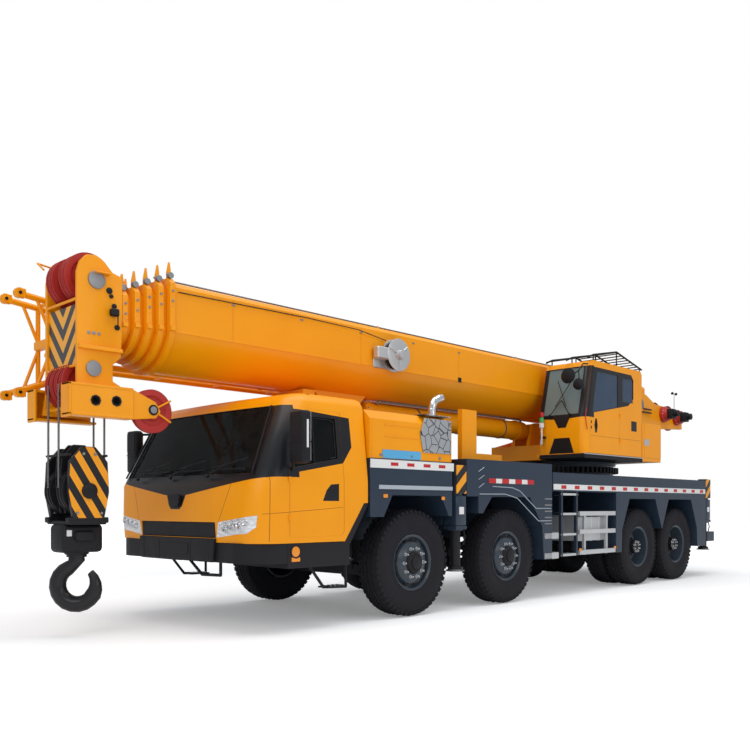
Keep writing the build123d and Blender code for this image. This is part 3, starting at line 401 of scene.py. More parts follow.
SIDES = (("left", 1), ("right", -1))
tyre_rubber = painted("tyre_rubber", (0.009, 0.009, 0.014), (0.03, 0.03, 0.035), roughness=0.72, dust=0.04,
                      gloss=0, wear=0.3)
rim_paint = painted("rim_paint", (0.028, 0.042, 0.06), (0.16, 0.18, 0.2), roughness=0.3, dust=0.06)
stud_metal = painted("stud_metal", (0.6, 0.61, 0.62), (0.5, 0.5, 0.5), roughness=0.22, dust=0, gloss=0,
                     metal=1)
TYRE_R = 0.62
TYRE_W = 0.315
SHOULDER_BLOCKS, TREAD_BARS = 50, 36


def tyre(mesh, x, y0, side):
    """Carcass with tread grooves and raised sidewall rings, then shoulder blocks and bars between them."""
    half = TYRE_W / 2
    half_section = [(0, 0.6), (0.01, 0.6), (0.012, 0.612), (0.05, 0.612), (0.052, 0.6), (0.062, 0.6),
                    (0.064, 0.61), (0.105, 0.606), (0.128, 0.596), (0.145, 0.572), (0.15, 0.545),
                    (0.1515, 0.543), (0.1535, 0.51), (0.1555, 0.5), (0.157, 0.47), (0.1555, 0.44),
                    (0.15, 0.4), (0.148, 0.396), (0.144, 0.375), (0.143, 0.35), (0.138, 0.33), (0.126, 0.318),
                    (0.1, 0.316)]
    centre = y0 + side * half
    profile = [(-a, r) for a, r in reversed(half_section[1:])] + half_section
    lathe(mesh, profile + [profile[0]], (x, centre, TYRE_R), (0, 1, 0), 60)
    for turn in range(SHOULDER_BLOCKS):
        for edge in (1, -1):
            made = bmesh.ops.create_cube(mesh, size=1)["verts"]
            bmesh.ops.transform(mesh, verts=made, matrix=Matrix.Diagonal((0.052, 0.06, 0.048, 1)))
            for vert in made:
                if vert.co.z > 0:
                    vert.co.x *= 0.86
                    if vert.co.y * edge > 0:
                        vert.co.z -= 0.016
                        vert.co.y -= edge * 0.004
            place = (Matrix.Translation((x, centre, TYRE_R))
                     @ Matrix.Rotation(tau * (turn + (0.5 if edge > 0 else 0)) / SHOULDER_BLOCKS, 4, "Y")
                     @ Matrix.Translation((0, edge * 0.1235, 0.592)) @ Matrix.Rotation(edge * 0.16, 4, "Z"))
            bmesh.ops.transform(mesh, verts=made, matrix=place)
            paint_faces(made, 0)
    for turn in range(TREAD_BARS):
        made = bmesh.ops.create_cube(mesh, size=1)["verts"]
        bmesh.ops.transform(mesh, verts=made, matrix=Matrix.Diagonal((0.012, 0.062, 0.01, 1)))
        place = (Matrix.Translation((x, centre, TYRE_R)) @ Matrix.Rotation(tau * turn / TREAD_BARS, 4, "Y")
                 @ Matrix.Translation((0, 0, 0.614)) @ Matrix.Rotation(0.5, 4, "Z"))
        bmesh.ops.transform(mesh, verts=made, matrix=place)


def ring_of(x, y, radius, count, shape):
    """A small shape is set at each step of a ring in the wheel's plane."""
    for step in range(count):
        angle = tau * (step + 0.5) / count
        shape((x + radius * sin(angle), y, TYRE_R + radius * cos(angle)))


def bolt_ring(mesh, centre, side, radius, reach, count, size=0.01, paint=1):
    """Ring of bolt heads round an axis across the crane; reach is where they start and end off its centre."""
    x, y, z = centre
    for step in range(count):
        angle = tau * step / count
        at = [(x + radius * cos(angle), y + side * out, z + radius * sin(angle)) for out in reach]
        rod(mesh, *at, size, paint, 6)


def boss(mesh, centre, side, radius, top, step, thick, sides=28, paint=2):
    """Round boss that faces left or right, with a chamfer from its step to its top."""
    lathe(mesh, [(0, radius), (step, radius), (thick, top), (thick, 0)], centre, (0, side, 0), sides, paint)


def nuts(mesh, side, reach):
    """Stud with its nut and washer, pointing outward."""
    profile = [(0, 0.022), (0.006, 0.022), (0.006, 0.016), (0.026, 0.016), (0.028, 0.011), (reach, 0.011),
               (reach, 0)]
    return lambda at: lathe(mesh, profile, at, (0, side, 0), 6, 2)


def shaded_hand_holes(mesh, side, radius):
    """Black well with a rolled lip in place of a rim's hand hole: painted shade for the dark seen through the
    open hole.
    """
    profile = [(0.004, 0), (0.004, radius * 0.86), (0.01, radius * 0.9), (0.01, radius), (0, radius * 1.12)]
    return lambda at: lathe(mesh, profile, at, (0, side, 0), 14, 3)


TRACK = 1.182  # from the crane's middle to the middle of an outer tyre
TWIN_STEP = 0.35  # from an outer tyre to its twin
RIM_EDGE = [(-0.03, 0.312), (-0.018, 0.326), (-0.014, 0.322), (-0.03, 0.296)]
FRONT_RIM = RIM_EDGE + [(-0.075, 0.288), (-0.085, 0.262), (-0.035, 0.238), (-0.03, 0.228), (-0.01, 0.2),
                        (0.002, 0.135), (-0.001, 0.132), (-0.001, 0.12)]
FRONT_HUB = [(-0.001, 0.13), (0.018, 0.122), (0.032, 0.112), (0.036, 0.098), (0.03, 0.092), (0.034, 0.08),
             (0.052, 0.076), (0.058, 0.066), (0.058, 0)]
REAR_RIM = RIM_EDGE + [(-0.15, 0.282), (-0.215, 0.262), (-0.235, 0.235), (-0.228, 0.19), (-0.222, 0.15),
                       (-0.222, 0.12)]
REAR_HUB = [(-0.225, 0.14), (-0.15, 0.132), (-0.12, 0.126), (-0.116, 0.112), (-0.06, 0.104), (-0.05, 0.094),
            (-0.05, 0)]
for number, x in ((1, 2.5), (2, 0.66)):
    for word, side in SIDES:
        wheel = bmesh.new()
        outer = side * (TRACK + TYRE_W / 2)
        tyre(wheel, x, side * (TRACK - TYRE_W / 2), side)
        centre = (x, outer, TYRE_R), (0, side, 0)
        lathe(wheel, FRONT_RIM, *centre, 48, 1)
        lathe(wheel, FRONT_HUB, *centre, 32, 3)
        lathe(wheel, [(-0.3, 0.286), (-0.3, 0.312), (-0.028, 0.312)], *centre, 48, 1)
        lathe(wheel, [(-0.3, 0.286), (-0.2, 0.23), (-0.1, 0.225)], *centre, 32, 3)
        ring_of(x, outer - side * 0.004, 0.167, 10, nuts(wheel, side, 0.042))
        # the hand holes are black wells, painted shade in place of open holes
        ring_of(x, outer - side * 0.052, 0.25, 10, shaded_hand_holes(wheel, side, 0.026))
        set_up(f"front_tyre_and_rim_{number}_{word}", wheel, f"front_wheel_{number}_{word}", "tyre",
               tyre_rubber, rim_paint, stud_metal, black_paint, hides=[f"front_wheel_{number}_{word}"])

for number, x in ((1, -2.97), (2, -4.34)):
    for word, side in SIDES:
        wheel = bmesh.new()
        outer = side * (TRACK + TYRE_W / 2)
        tyre(wheel, x, outer - side * TYRE_W, side)
        tyre(wheel, x, outer - side * (TYRE_W + TWIN_STEP), side)
        centre = (x, outer, TYRE_R), (0, side, 0)
        lathe(wheel, REAR_RIM, *centre, 48, 1)
        lathe(wheel, REAR_HUB, *centre, 32, 3)
        lathe(wheel, [(-0.62, 0.312), (-0.028, 0.312)], *centre, 48, 1)
        lathe(wheel, [(-0.64, 0.3), (-0.6, 0.29), (-0.5, 0.23), (-0.48, 0.08)], *centre, 32, 3)
        ring_of(x, outer - side * 0.226, 0.172, 10, nuts(wheel, side, 0.05))
        # the hand holes are black wells, painted shade in place of open holes
        ring_of(x, outer - side * 0.236, 0.228, 10, shaded_hand_holes(wheel, side, 0.022))
        ring_of(x, outer - side * 0.052, 0.078, 8, nuts(wheel, side, 0.03))
        set_up(f"twin_tyres_and_rims_{number}_{word}", wheel, f"rear_wheel_{number}_{word}", "tyre",
               tyre_rubber, rim_paint, stud_metal, black_paint, hides=[f"rear_wheel_{number}_{word}"])


# ---------------------------------------------------------------- driver's cab
# Pressed steel shell sprayed orange, with the screen's belt, corner pillars and window surrounds sprayed
# black. The shell is lofted through its plan sections, hollowed and cut open; the doors come out of the same
# skin.
def cab_zones(x, y, z, tone):
    """Black belt, pillars, window band and handle pocket, then the fine dark seams between the pressings and
    the crease's dark line, which is painted shade.
    """
    off = maths("ABSOLUTE", y)
    band = [(3.5, 1.89), (3.64, 1.715), (4.62, 1.545), (4.95, 1.53), (4.95, 2.285), (4.35, 2.25),
            (3.51, 2.225)]
    pocket = inside(x, z, [(3.715, 1.32), (3.94, 1.32), (3.89, 1.43), (3.83, 1.49), (3.715, 1.5)])
    band = times(either(inside(x, z, band), pocket), past(off, 1.02))
    belt = inside(off, z, [(-0.1, 1.385), (0.2, 1.385), (1.25, 1.535), (1.6, 1.585), (1.6, 2.285),
                           (-0.1, 2.285)])
    recess = inside(off, z, [(-0.1, 1.235), (0.085, 1.235), (0.125, 1.27), (0.2, 1.42), (-0.1, 1.42)])
    front = times(either(belt, recess), past(x, 4.25))
    tone = blend_colour(either(band, front), tone, TRIM_BLACK)
    seam = times(inside(off, z, [(0.76, 1.1), (0.767, 1.1), (0.937, 1.49), (0.93, 1.49)]), past(x, 4.5))
    # a thin dark line along the side's crease is painted shade under the fold; the upright line is a real
    # seam
    crease = inside(x, z, [(3.66, 1.252), (4.66, 1.187), (4.66, 1.192), (3.66, 1.257)])
    upright = inside(x, z, rectangle(4.598, 4.604, 0.92, 1.55))
    crease = times(either(crease, upright), past(off, 1.2))
    return blend_colour(either(seam, crease), tone, SEAM_AND_CREASE_SHADE)


cab_paint = painted("cab_paint", ORANGE, FADED_ORANGE, dust=0.02, gloss=0.1, pattern=cab_zones, wear=0.3)


def carved(mesh, cutter, how="DIFFERENCE"):
    """The mesh after a cutter has been taken from it, or kept in common with it."""
    blanks = []
    for form in (mesh, cutter):
        data = bpy.data.meshes.new("blank")
        form.to_mesh(data)
        form.free()
        blank = bpy.data.objects.new("blank", data)
        bpy.context.scene.collection.objects.link(blank)
        blanks.append(blank)
    cut = blanks[0].modifiers.new("cut", "BOOLEAN")
    cut.operation = how
    cut.solver = "EXACT"
    cut.object = blanks[1]
    result = bmesh.new()
    result.from_object(blanks[0], bpy.context.evaluated_depsgraph_get())
    for blank in blanks:
        data = blank.data
        bpy.data.objects.remove(blank)
        bpy.data.meshes.remove(data)
    return result


def along_y(*cuts):
    """Blocks of (x, z) outline between two y planes."""
    mesh = bmesh.new()
    for outline, y0, y1 in cuts:
        side_plate(mesh, outline, max(y0, y1), abs(y1 - y0), 0, 0)
    return mesh


def along_x(*cuts):
    """Blocks of (y, z) outline between two x planes."""
    mesh = bmesh.new()
    for outline, x0, x1 in cuts:
        cross_plate(mesh, outline, x0, x1 - x0, 0, 0)
    return mesh


# plan sections: height, front at the middle, half width, corner radius, bow of the front
CAB_LEVELS = [(0.9, 4.795, 1.385, 0.3, 0.045), (1.13, 4.812, 1.385, 0.3, 0.045),
              (1.5, 4.785, 1.385, 0.25, 0.045), (1.56, 4.745, 1.382, 0.23, 0.045),
              (2.33, 4.37, 1.3, 0.2, 0.05), (2.4, 4.27, 1.25, 0.18, 0.05), (2.43, 4.15, 1.18, 0.15, 0.04)]
CAB_REAR = 3.29


def cab_form(inset):
    """Closed form of the cab, drawn in by an inset, without the corner over the wheel."""
    mesh = bmesh.new()
    loops = []
    for index, (z, front, half, radius, bow) in enumerate(CAB_LEVELS):
        level = z + inset if index == 0 else z - inset if index == len(CAB_LEVELS) - 1 else z
        front, half, radius = front - inset, half - inset, radius - inset
        face, reach = front - bow, half - radius
        outline = [(CAB_REAR + inset, -half), (4, -half)]
        outline += [(face - radius + radius * sin(a * pi / 16), -reach - radius * cos(a * pi / 16))
                    for a in range(9)]
        outline += [(face + bow * (1 - (step / 5 - 1) ** 2), reach * (step / 5 - 1)) for step in range(1, 10)]
        outline += [(face - radius + radius * cos(a * pi / 16), reach + radius * sin(a * pi / 16))
                    for a in range(9)]
        outline += [(4, half), (CAB_REAR + inset, half)]
        ring = [mesh.verts.new((x, y, level)) for x, y in outline]
        loops.append([mesh.edges.new(pair) for pair in zip(ring, ring[1:] + ring[:1])])
    for lower, upper in zip(loops, loops[1:]):
        bmesh.ops.bridge_loops(mesh, edges=lower + upper)
    bmesh.ops.edgeloop_fill(mesh, edges=loops[0])
    bmesh.ops.edgeloop_fill(mesh, edges=loops[-1])
    bmesh.ops.recalc_face_normals(mesh, faces=mesh.faces)
    corner = [(3.2, 0.7), (3.764 + 1.215 * inset, 0.7), (3.35 + 0.525 * inset, 1.3 + inset),
              (3.2, 1.3 + inset)]
    return carved(mesh, along_y((corner, 0.48 - inset, 1.6), (corner, -1.6, inset - 0.48)))


DOOR = [(3.64, 1), (3.68, 0.96), (4.38, 0.96), (4.38, 1.64), (4.08, 2.25), (3.64, 2.25)]
DOOR_WINDOW = [(3.71, 1.76), (3.82, 1.74), (4.32, 1.65), (4.04, 2.18), (3.71, 2.18)]
LAMP = [(0.725, 0.95), (1, 0.985), (1.18, 1), (1.265, 1.06), (1.28, 1.175), (0.76, 1.105)]
SCREEN = [(-1.2, 1.59), (1.2, 1.59), (1.08, 2.28), (-1.08, 2.28)]
lamp_cut = [(LAMP, 4.2, 5), ([(-y, z) for y, z in reversed(LAMP)], 4.2, 5)]
cab_skin = carved(cab_form(0), cab_form(0.045))
openings = [(SCREEN, 3.9, 5), (rectangle(-0.9, 0.9, 1.7, 2.15), 3.2, 3.5)]
grille_cut = (rectangle(-0.71, 0.71, 0.945, 1.105), 4.5, 5)
shell = carved(cab_skin.copy(), along_x(*openings, grille_cut))
shell = carved(shell, along_x(*lamp_cut))
shell = carved(shell, along_y((DOOR, 0.9, 1.6), (DOOR, -1.6, -0.9)))
set_up("cab_shell", shell, "carrier", "orange_paint", cab_paint, hides=["carrier_cab"])
units = carved(cab_skin.copy(), along_x(*lamp_cut), "INTERSECT")
# the plates behind the tail lamps' lenses, in the same piece
for side in (1, -1):
    slab(units, (-6.16, side * 0.9, 0.65), (-6.14, side * 1.2, 0.77))

bits = bmesh.new()
# blank badge plate in its recess under the screen
badge = [(-0.075, 1.265), (0.075, 1.265), (0.095, 1.29), (0.11, 1.375), (0.1, 1.39), (-0.1, 1.39),
         (-0.11, 1.375), (-0.095, 1.29)]
cross_plate(bits, badge, 4.8, 0.03, 0, 0.004)
# gasket down both edges of the windscreen
for side in (-1, 1):
    rod(bits, (4.705, side * 1.205, 1.59), (4.37, side * 1.085, 2.283), 0.01)
# three wiper arms with blades, parked low on the screen
for foot in (-0.82, -0.14, 0.55):
    rod(bits, (4.765, foot, 1.575), (4.79, foot, 1.575), 0.022, 0, 12)
    pipe(bits, [(4.785, foot, 1.575), (4.775, foot + 0.1, 1.615), (4.742, foot + 0.34, 1.7)], 0.008)
    rod(bits, (4.752, foot + 0.08, 1.655), (4.732, foot + 0.62, 1.735), 0.006)
    slab(bits, (4.744, foot + 0.05, 1.63), (4.756, foot + 0.6, 1.64), 0, 0.002)
# tow eyes low on the bumper's front
for side in (1, -1):
    eye = [(-0.02, 0.03), (-0.02, 0.052), (0.02, 0.052), (0.02, 0.03), (-0.02, 0.03)]
    lathe(bits, eye, (4.735, side * 0.93, 0.79), (1, 0, 0), 20, 1)
    rod(bits, (4.7, side * 0.93, 0.79), (4.715, side * 0.93, 0.79), 0.045, 1, 16)
    # black rim of the round side lamp on the skirt
    rim = [(0, 0.07), (0.012, 0.068), (0.014, 0.058), (0.006, 0.055)]
    lathe(bits, rim, (4.3, side * 1.378, 0.815), (0, side, 0), 24)
set_up("cab_belt_badge_and_wipers", bits, "carrier", "black_plastic", black_paint, bare_steel)

amber_lens = painted("amber_lens", (0.95, 0.3, 0.01), (0.8, 0.3, 0.05), roughness=0.15, dust=0.05, gloss=0.6)
lamps = bmesh.new()
for side in (1, -1):
    y = side * 1.374
    lathe(lamps, [(0, 0.06), (0.01, 0.056), (0.015, 0.04), (0.017, 0)], (4.3, y, 0.815), (0, side, 0), 24)
    slab(lamps, (4.245, y, 0.715), (4.355, y + side * 0.016, 0.76), 0, 0.005)
    slab(lamps, (3, side * 1.398, 1.36), (3.07, side * 1.41, 1.4), 0, 0.005)
    slab(lamps, (2.02, side * 1.398, 1.34), (2.08, side * 1.41, 1.38), 0, 0.005)
set_up("amber_side_lamps", lamps, "carrier", "lens", amber_lens)


def pane(name, tint, film=0.06, tone=(0.012, 0.016, 0.018), body=0.05):
    """Thin dusty glass with a tint and a gloss that grows at a slant; body is how much of its tone shows."""
    material, tree, gloss, place = new_material(name)
    dusty = times(grain(place, 5, 6), film)
    fill(gloss, {"Base Color": blend_colour(dusty, tone, (0.5, 0.5, 0.48)), "Roughness": plus(dusty, 0.015)})
    clear = shader_node(tree, "BsdfTransparent", {"Color": tint})
    slant = shader_node(tree, "Fresnel", {"IOR": 1.5}).outputs["Fac"]
    share = plus(times(slant, 1.1), plus(dusty, body))
    mix = shader_node(tree, "MixShader", {"Fac": share, 1: clear.outputs[0], 2: gloss.outputs[0]})
    fill(tree.nodes["Material Output"], {"Surface": mix.outputs[0]})
    return material


def door_y(z):
    """How far from the middle the door's outer face leans at this height."""
    return 1.376 - 0.1104 * (z - 1.56)


screen_glass = pane("screen_glass", (0.62, 0.66, 0.66))
film = carved(cab_form(0.01), cab_form(0.017))
film = carved(film, along_x(*openings), "INTERSECT")
set_up("cab_screen_and_rear_pane", film, "carrier", "glass", screen_glass, hides=["cab_glass"])
for word, side in SIDES:
    leaf = [(x + (0.004 if x < 4 else -0.004), z) for x, z in DOOR]
    door = carved(cab_skin.copy(), along_y((leaf, side * 0.9, side * 1.6)), "INTERSECT")
    door = carved(door, along_y((DOOR_WINDOW, side * 0.9, side * 1.6)))
    for z in (1.12, 1.5):
        rod(door, (4.386, side * 1.392, z), (4.386, side * 1.392, z + 0.06), 0.011, 0, 12)
    set_up(f"cab_door_skin_{word}", door, f"cab_door_{word}", "orange_paint", cab_paint,
           hides=[f"cab_door_{word}"])
    door_pane = carved(cab_form(0.012), cab_form(0.018))
    door_pane = carved(door_pane, along_y((DOOR_WINDOW, side * 0.9, side * 1.6)), "INTERSECT")
    set_up(f"door_window_{word}", door_pane, f"cab_door_{word}", "glass", screen_glass)
    bars = bmesh.new()
    corners = [(4.02, 2.165), (3.8, 2.165), (3.735, 2.14), (3.735, 1.775), (3.82, 1.757)]
    for (x0, z0), (x1, z1) in zip(corners, corners[1:]):
        rod(bars, (x0, side * door_y(z0), z0), (x1, side * door_y(z1), z1), 0.006)
    rod(bars, (4.02, side * door_y(2.16), 2.165), (4.04, side * door_y(1.7), 1.71), 0.008)
    # the handle's bar in its pocket, and the lock barrel
    pipe(bars, [(3.74, side * 1.372, 1.47), (3.77, side * 1.378, 1.4), (3.78, side * 1.372, 1.345)], 0.01)
    rod(bars, (3.88, side * 1.362, 1.36), (3.88, side * 1.384, 1.36), 0.012, 1, 12)
    set_up(f"door_pane_bars_and_handle_{word}", bars, f"cab_door_{word}", "black_plastic", black_paint,
           stud_metal)

# ---------------------------------------------------------------- headlamps, grille and bumper
# Moulded lamp units, dimpled, clear in front and red behind, over chromed bowls; the grille is black plastic
# slats.
lamp_skin, tree, shader, place = new_material("lamp_skin")
cells = shader_node(tree, "TexVoronoi", {"Scale": 26, "Vector": place}).outputs["Distance"]
ahead = past(shader_node(tree, "SeparateXYZ", {0: place}).outputs["X"], 0)
tone = blend_colour(times(cells, 0.6), (0.93, 0.95, 0.97), (0.55, 0.58, 0.62))
dimples = shader_node(tree, "Bump", {"Strength": 0.5, "Distance": 0.01, "Height": cells})
fill(shader, {"Base Color": blend_colour(ahead, (0.45, 0.012, 0.012), tone),
              "Normal": dimples.outputs["Normal"], "Roughness": times(cells, 0.25), "Metallic": 0.35,
              "Coat Weight": 1, "Coat Roughness": 0.03})
set_up("head_and_tail_lamp_units", units, "carrier", "lens", lamp_skin, hides=["lamps"])


def lamp_front_x(y, z):
    """How far forward the cab's bowed front lies at this height, at the lamps."""
    floor, front, half, radius, bow = CAB_LEVELS[0]
    reach = half - radius
    lift = (z - floor) * 0.07
    if y < reach:
        return front - bow + bow * (1 - (y / reach) ** 2) + lift
    return front - bow - radius + sqrt(max(0, radius ** 2 - (y - reach) ** 2)) + lift


bowls = bmesh.new()
for side in (1, -1):
    for y, z, size in ((0.86, 1.055, 0.052), (0.97, 1.075, 0.05), (1.075, 1.092, 0.044),
                       (1.16, 1.105, 0.036)):
        x = lamp_front_x(y, z)
        turn = 0 if y < 1 else (y - 1) * 2
        aim = (cos(turn), side * sin(turn), 0)
        bowl = ((0.002, 1), (0.01, 1), (0.012, 0.86), (0.004, 0.6), (0.002, 0.42), (0.012, 0.3), (0.014, 0))
        lathe(bowls, [(out, size * r) for out, r in bowl], (x, side * y, z), aim, 20)
set_up("headlamp_bowls", bowls, "carrier", "lens", chrome_plate)

# grille slats, bumper lip with its split lines and a blank number plate, brackets, and the step's treads
bits = bmesh.new()
for z in (0.955, 0.99, 1.025, 1.06, 1.09):
    slab(bits, (4.7, -0.705, z - 0.01), (4.775, 0.705, z + 0.008), 0, 0.007, 2)
slab(bits, (4.66, -0.705, 0.946), (4.68, 0.705, 1.104), 0, 0.002)
cross_plate(bits, [(-0.69, 0.7), (0.69, 0.7), (0.72, 0.94), (-0.72, 0.94)], 4.77, 0.045, 0, 0.01)
pipe(bits, [(4.7, 0.06, 0.74), (4.7, 0.35, 0.555), (4.7, 0.68, 0.565), (4.7, 0.68, 0.72)], 0.016, 0, 12)
for side in (1, -1):
    hanger = ((4.08, 0.69), (3.86, 0.43), (3.54, 0.415), (3.54, 0.69))
    pipe(bits, [(x, side * 1.3, z) for x, z in hanger], 0.016, 0, 12)
    slab(bits, (3.47, side * 1.18, 0.69), (4.25, side * 1.345, 0.712))
    slab(bits, (3.56, side * 1.18, 0.415), (3.83, side * 1.34, 0.432))
    well = [(3.29, 1.275), (3.56, 0.86), (3.56, 0.65), (4.4, 0.65), (4.4, 0.895), (3.64, 0.895),
            (3.355, 1.296), (3.29, 1.296)]
    side_plate(bits, well, 1.385 if side > 0 else -0.525, 0.86, 0, 0.004)
slab(bits, (4.81, -0.26, 0.77), (4.822, 0.26, 0.88), 0, 0.003)
for y in (-0.62, -0.3, 0.3, 0.62):
    slab(bits, (4.808, y - 0.004, 0.71), (4.818, y + 0.004, 0.93), 0, 0.002)
for side in (1, -1):
    for bar in range(12):
        x = 3.5 + bar * 0.06
        slab(bits, (x, side * 1.19, 0.712), (x + 0.015, side * 1.335, 0.72), 1, 0.002)
        if bar < 4:
            slab(bits, (x + 0.085, side * 1.2, 0.432), (x + 0.1, side * 1.33, 0.44), 1, 0.002)
set_up("bumper_lines_and_step_treads", bits, "carrier", "black_plastic", black_paint, silver_paint)

# ---------------------------------------------------------------- cab's inside and mirrors
# Moulded dark trim, dials and a lever; the mirrors are black shells on bent bars, with silvered panes to the
# rear.
seat_cloth = painted("seat_cloth", (0.045, 0.047, 0.052), (0.08, 0.08, 0.08), roughness=0.9, dust=0.1,
                     gloss=0)
trim_plastic = painted("trim_plastic", (0.035, 0.037, 0.04), (0.08, 0.08, 0.08), roughness=0.6, dust=0.1,
                       gloss=0)
finish_nodes(trim_plastic, "cab_interior")


def cushion(name, low, high, body, slot="seat"):
    """Crowned pad: sides draw in between corners, a sewn channel runs down its middle."""
    mesh = bmesh.new()
    made = bmesh.ops.create_cube(mesh, size=2)["verts"]
    bmesh.ops.subdivide_edges(mesh, edges=mesh.edges, cuts=9, use_grid_fill=True)
    low, high = Vector(low), Vector(high)
    half = (high - low) / 2
    thin = min(range(3), key=lambda axis: half[axis])
    for vert in mesh.verts:
        u = vert.co.copy()
        others = [axis for axis in range(3) if axis != thin]
        a, b = u[others[0]], u[others[1]]
        edge = (1 - a * a) * (1 - b * b)
        vert.co[thin] = u[thin] * (0.72 + 0.28 * edge ** 0.35)
        for axis, other in ((others[0], b), (others[1], a)):
            vert.co[axis] = u[axis] * (0.955 + 0.045 * abs(other) ** 3) * (1 - 0.05 * abs(u[thin]) ** 3)
        if abs(b) < 0.12 or abs(abs(b) - 0.6) < 0.06:
            vert.co[thin] *= 0.9
    for vert in mesh.verts:
        vert.co = Vector([vert.co[axis] * half[axis] for axis in range(3)]) + (low + high) / 2
    piece = set_up(name, mesh, body, slot, seat_cloth, soft_angle=80)
    rounding = piece.modifiers.new("rounding", "SUBSURF")
    rounding.levels = 1
    rounding.render_levels = 1


for word, side in SIDES:
    glass = bmesh.new()
    y = side * 1.56
    slab(glass, (4.334, y - 0.095, 1.9), (4.341, y + 0.095, 2.17), 0, 0.003)
    slab(glass, (4.334, y - 0.095, 1.71), (4.341, y + 0.095, 1.88), 0, 0.003)
    set_up(f"mirror_panes_{word}", glass, f"cab_door_{word}", "chrome", chrome_plate)
    mirror = bmesh.new()
    slab(mirror, (4.342, y - 0.11, 1.68), (4.448, y + 0.11, 2.19), 0, 0.03, 4)
    for arm in (((4.33, 1.37, 1.62), (4.365, 1.42, 1.67), (4.4, 1.5, 1.72)),
                ((4.1, 1.31, 2.16), (4.245, 1.42, 2.15), (4.39, 1.5, 2.14))):
        pipe(mirror, [(x, side * y0, z) for x, y0, z in arm], 0.014, 0, 10)
    slab(mirror, (4.448, y - 0.1, 1.885), (4.456, y + 0.1, 1.893), 0, 0.002)
    # a white strip down the housing's outer side is a painted highlight
    slab(mirror, (4.38, side * 1.668, 1.83), (4.405, side * 1.672, 2.1), 1, 0.001)
    slab(mirror, (4.446, y - 0.085, 1.93), (4.454, y + 0.085, 2.15))
    set_up(f"mirror_shell_{word}", mirror, f"cab_door_{word}", "black_plastic", black_paint, white_paint,
           hides=[f"mirror_{word}"])

# round inside mirror on its stalk, dials, a binnacle and the gear lever
bits = bmesh.new()
lathe(bits, [(-0.008, 0), (-0.008, 0.1), (0.008, 0.1), (0.008, 0)], (4.36, 0.28, 2.14), (1, 0, 0), 20)
pipe(bits, [(4.33, 0.28, 2.3), (4.36, 0.28, 2.24), (4.36, 0.28, 2.16)], 0.008)
for y in (-0.2, 0, 0.2, 0.42, 0.86):
    slab(bits, (4.412, y - 0.07, 1.33), (4.422, y + 0.07, 1.44))
slab(bits, (4.4, 0.46, 1.475), (4.5, 0.82, 1.56), 0, 0.02, 2)
rod(bits, (4, 0, 1.22), (3.98, 0, 1.52), 0.012)
lathe(bits, [(0, 0), (0.02, 0.024), (0.05, 0.026), (0.07, 0)], (3.98, 0, 1.5), (0, 0, 1), 12)
set_up("cab_dials_mirror_and_lever", bits, "carrier", "black_plastic", trim_plastic)

# ---------------------------------------------------------------- engine cover, exhaust and boom rest
# Folded sheet cover sprayed orange, with pressed lines and latches; the chromed exhaust rises behind a
# pierced guard.
bits = bmesh.new()
for side in (1, -1):
    for z in (2.17, 2.04):
        slab(bits, (2.47, side * 1.388, z - 0.009), (3.04, side * 1.396, z + 0.009), 0, 0.003)
    for x in (1.9, 3.24):
        slab(bits, (x - 0.006, side * 1.388, 1.8), (x + 0.006, side * 1.394, 2.2), 0, 0.002)
    for x in (2.1, 2.6, 3.1):
        rod(bits, (x, side * 1.386, 1.83), (x, side * 1.398, 1.83), 0.018, 1, 12)
# the louvres' slots are black bars on the cover's top: painted shade in place of open slots
for slot in range(9):
    x = 2.66 + slot * 0.06
    for side in (1, -1):
        slab(bits, (x, side * 0.62, 2.318), (x + 0.03, side * 1.05, 2.328), 2, 0.003)
set_up("cover_louvres_and_latches", bits, "carrier", "orange_paint", orange_paint, bare_steel, black_paint)


def pierced(x, y, z, tone):
    """Dark lines of the guard's irregular round cells."""
    flat = shader_node(x.id_data, "CombineXYZ", {0: x, 2: z}).outputs[0]
    cells = shader_node(x.id_data, "TexVoronoi", {"Scale": 8.5, "Vector": flat}, feature="DISTANCE_TO_EDGE")
    return blend_colour(maths("LESS_THAN", cells.outputs["Distance"], 0.035), tone, (0.03, 0.03, 0.035))


guard_sheet = painted("guard_sheet", (0.42, 0.44, 0.46), (0.5, 0.5, 0.5), roughness=0.4, dust=0.05, gloss=0,
                      pattern=pierced, metal=0.5)
guard = bmesh.new()
side_plate(guard, [(1.9, 1.885), (2.4, 1.885), (2.455, 2.1), (2.38, 2.285), (1.9, 2.285)], 1.405, 0.012, 0,
           0.004)
slab(guard, (1.9, 1.1, 2.322), (2.38, 1.4, 2.334))
set_up("exhaust_guard", guard, "carrier", "silver", guard_sheet)
stack = bmesh.new()
pipe(stack, [(2.02, 1.2, 2.31), (2.02, 1.2, 2.43), (2, 1.2, 2.49), (1.96, 1.2, 2.54), (1.9, 1.2, 2.57),
             (1.84, 1.2, 2.585)], 0.048, 0, 20)
lathe(stack, [(0, 0.048), (0, 0.075), (0.015, 0.075), (0.02, 0.05)], (2.02, 1.2, 2.335), (0, 0, 1), 24)
set_up("exhaust_pipe", stack, "carrier", "chrome", chrome_plate, hides=["exhaust"])

# ---------------------------------------------------------------- marking tape, trims and blank plates
# Reflective tape, pale pressed trims and bare plates stuck or riveted flat to the slate panels.
sky_plate = painted("sky_plate", (0.1, 0.42, 0.72), (0.4, 0.5, 0.6), roughness=0.3, dust=0.05)
pale_trim = painted("pale_trim", (0.42, 0.47, 0.53), (0.5, 0.5, 0.5), roughness=0.35, dust=0.08)
tape = bmesh.new()


def stick(low, high, paint, y=1.4, proud=0.003):
    """Flat marking on the left side, and its twin on the right."""
    for side in (1, -1):
        slab(tape, (low[0], side * (y - 0.001), low[1]), (high[0], side * (y + proud), high[1]), paint,
             0.0008)


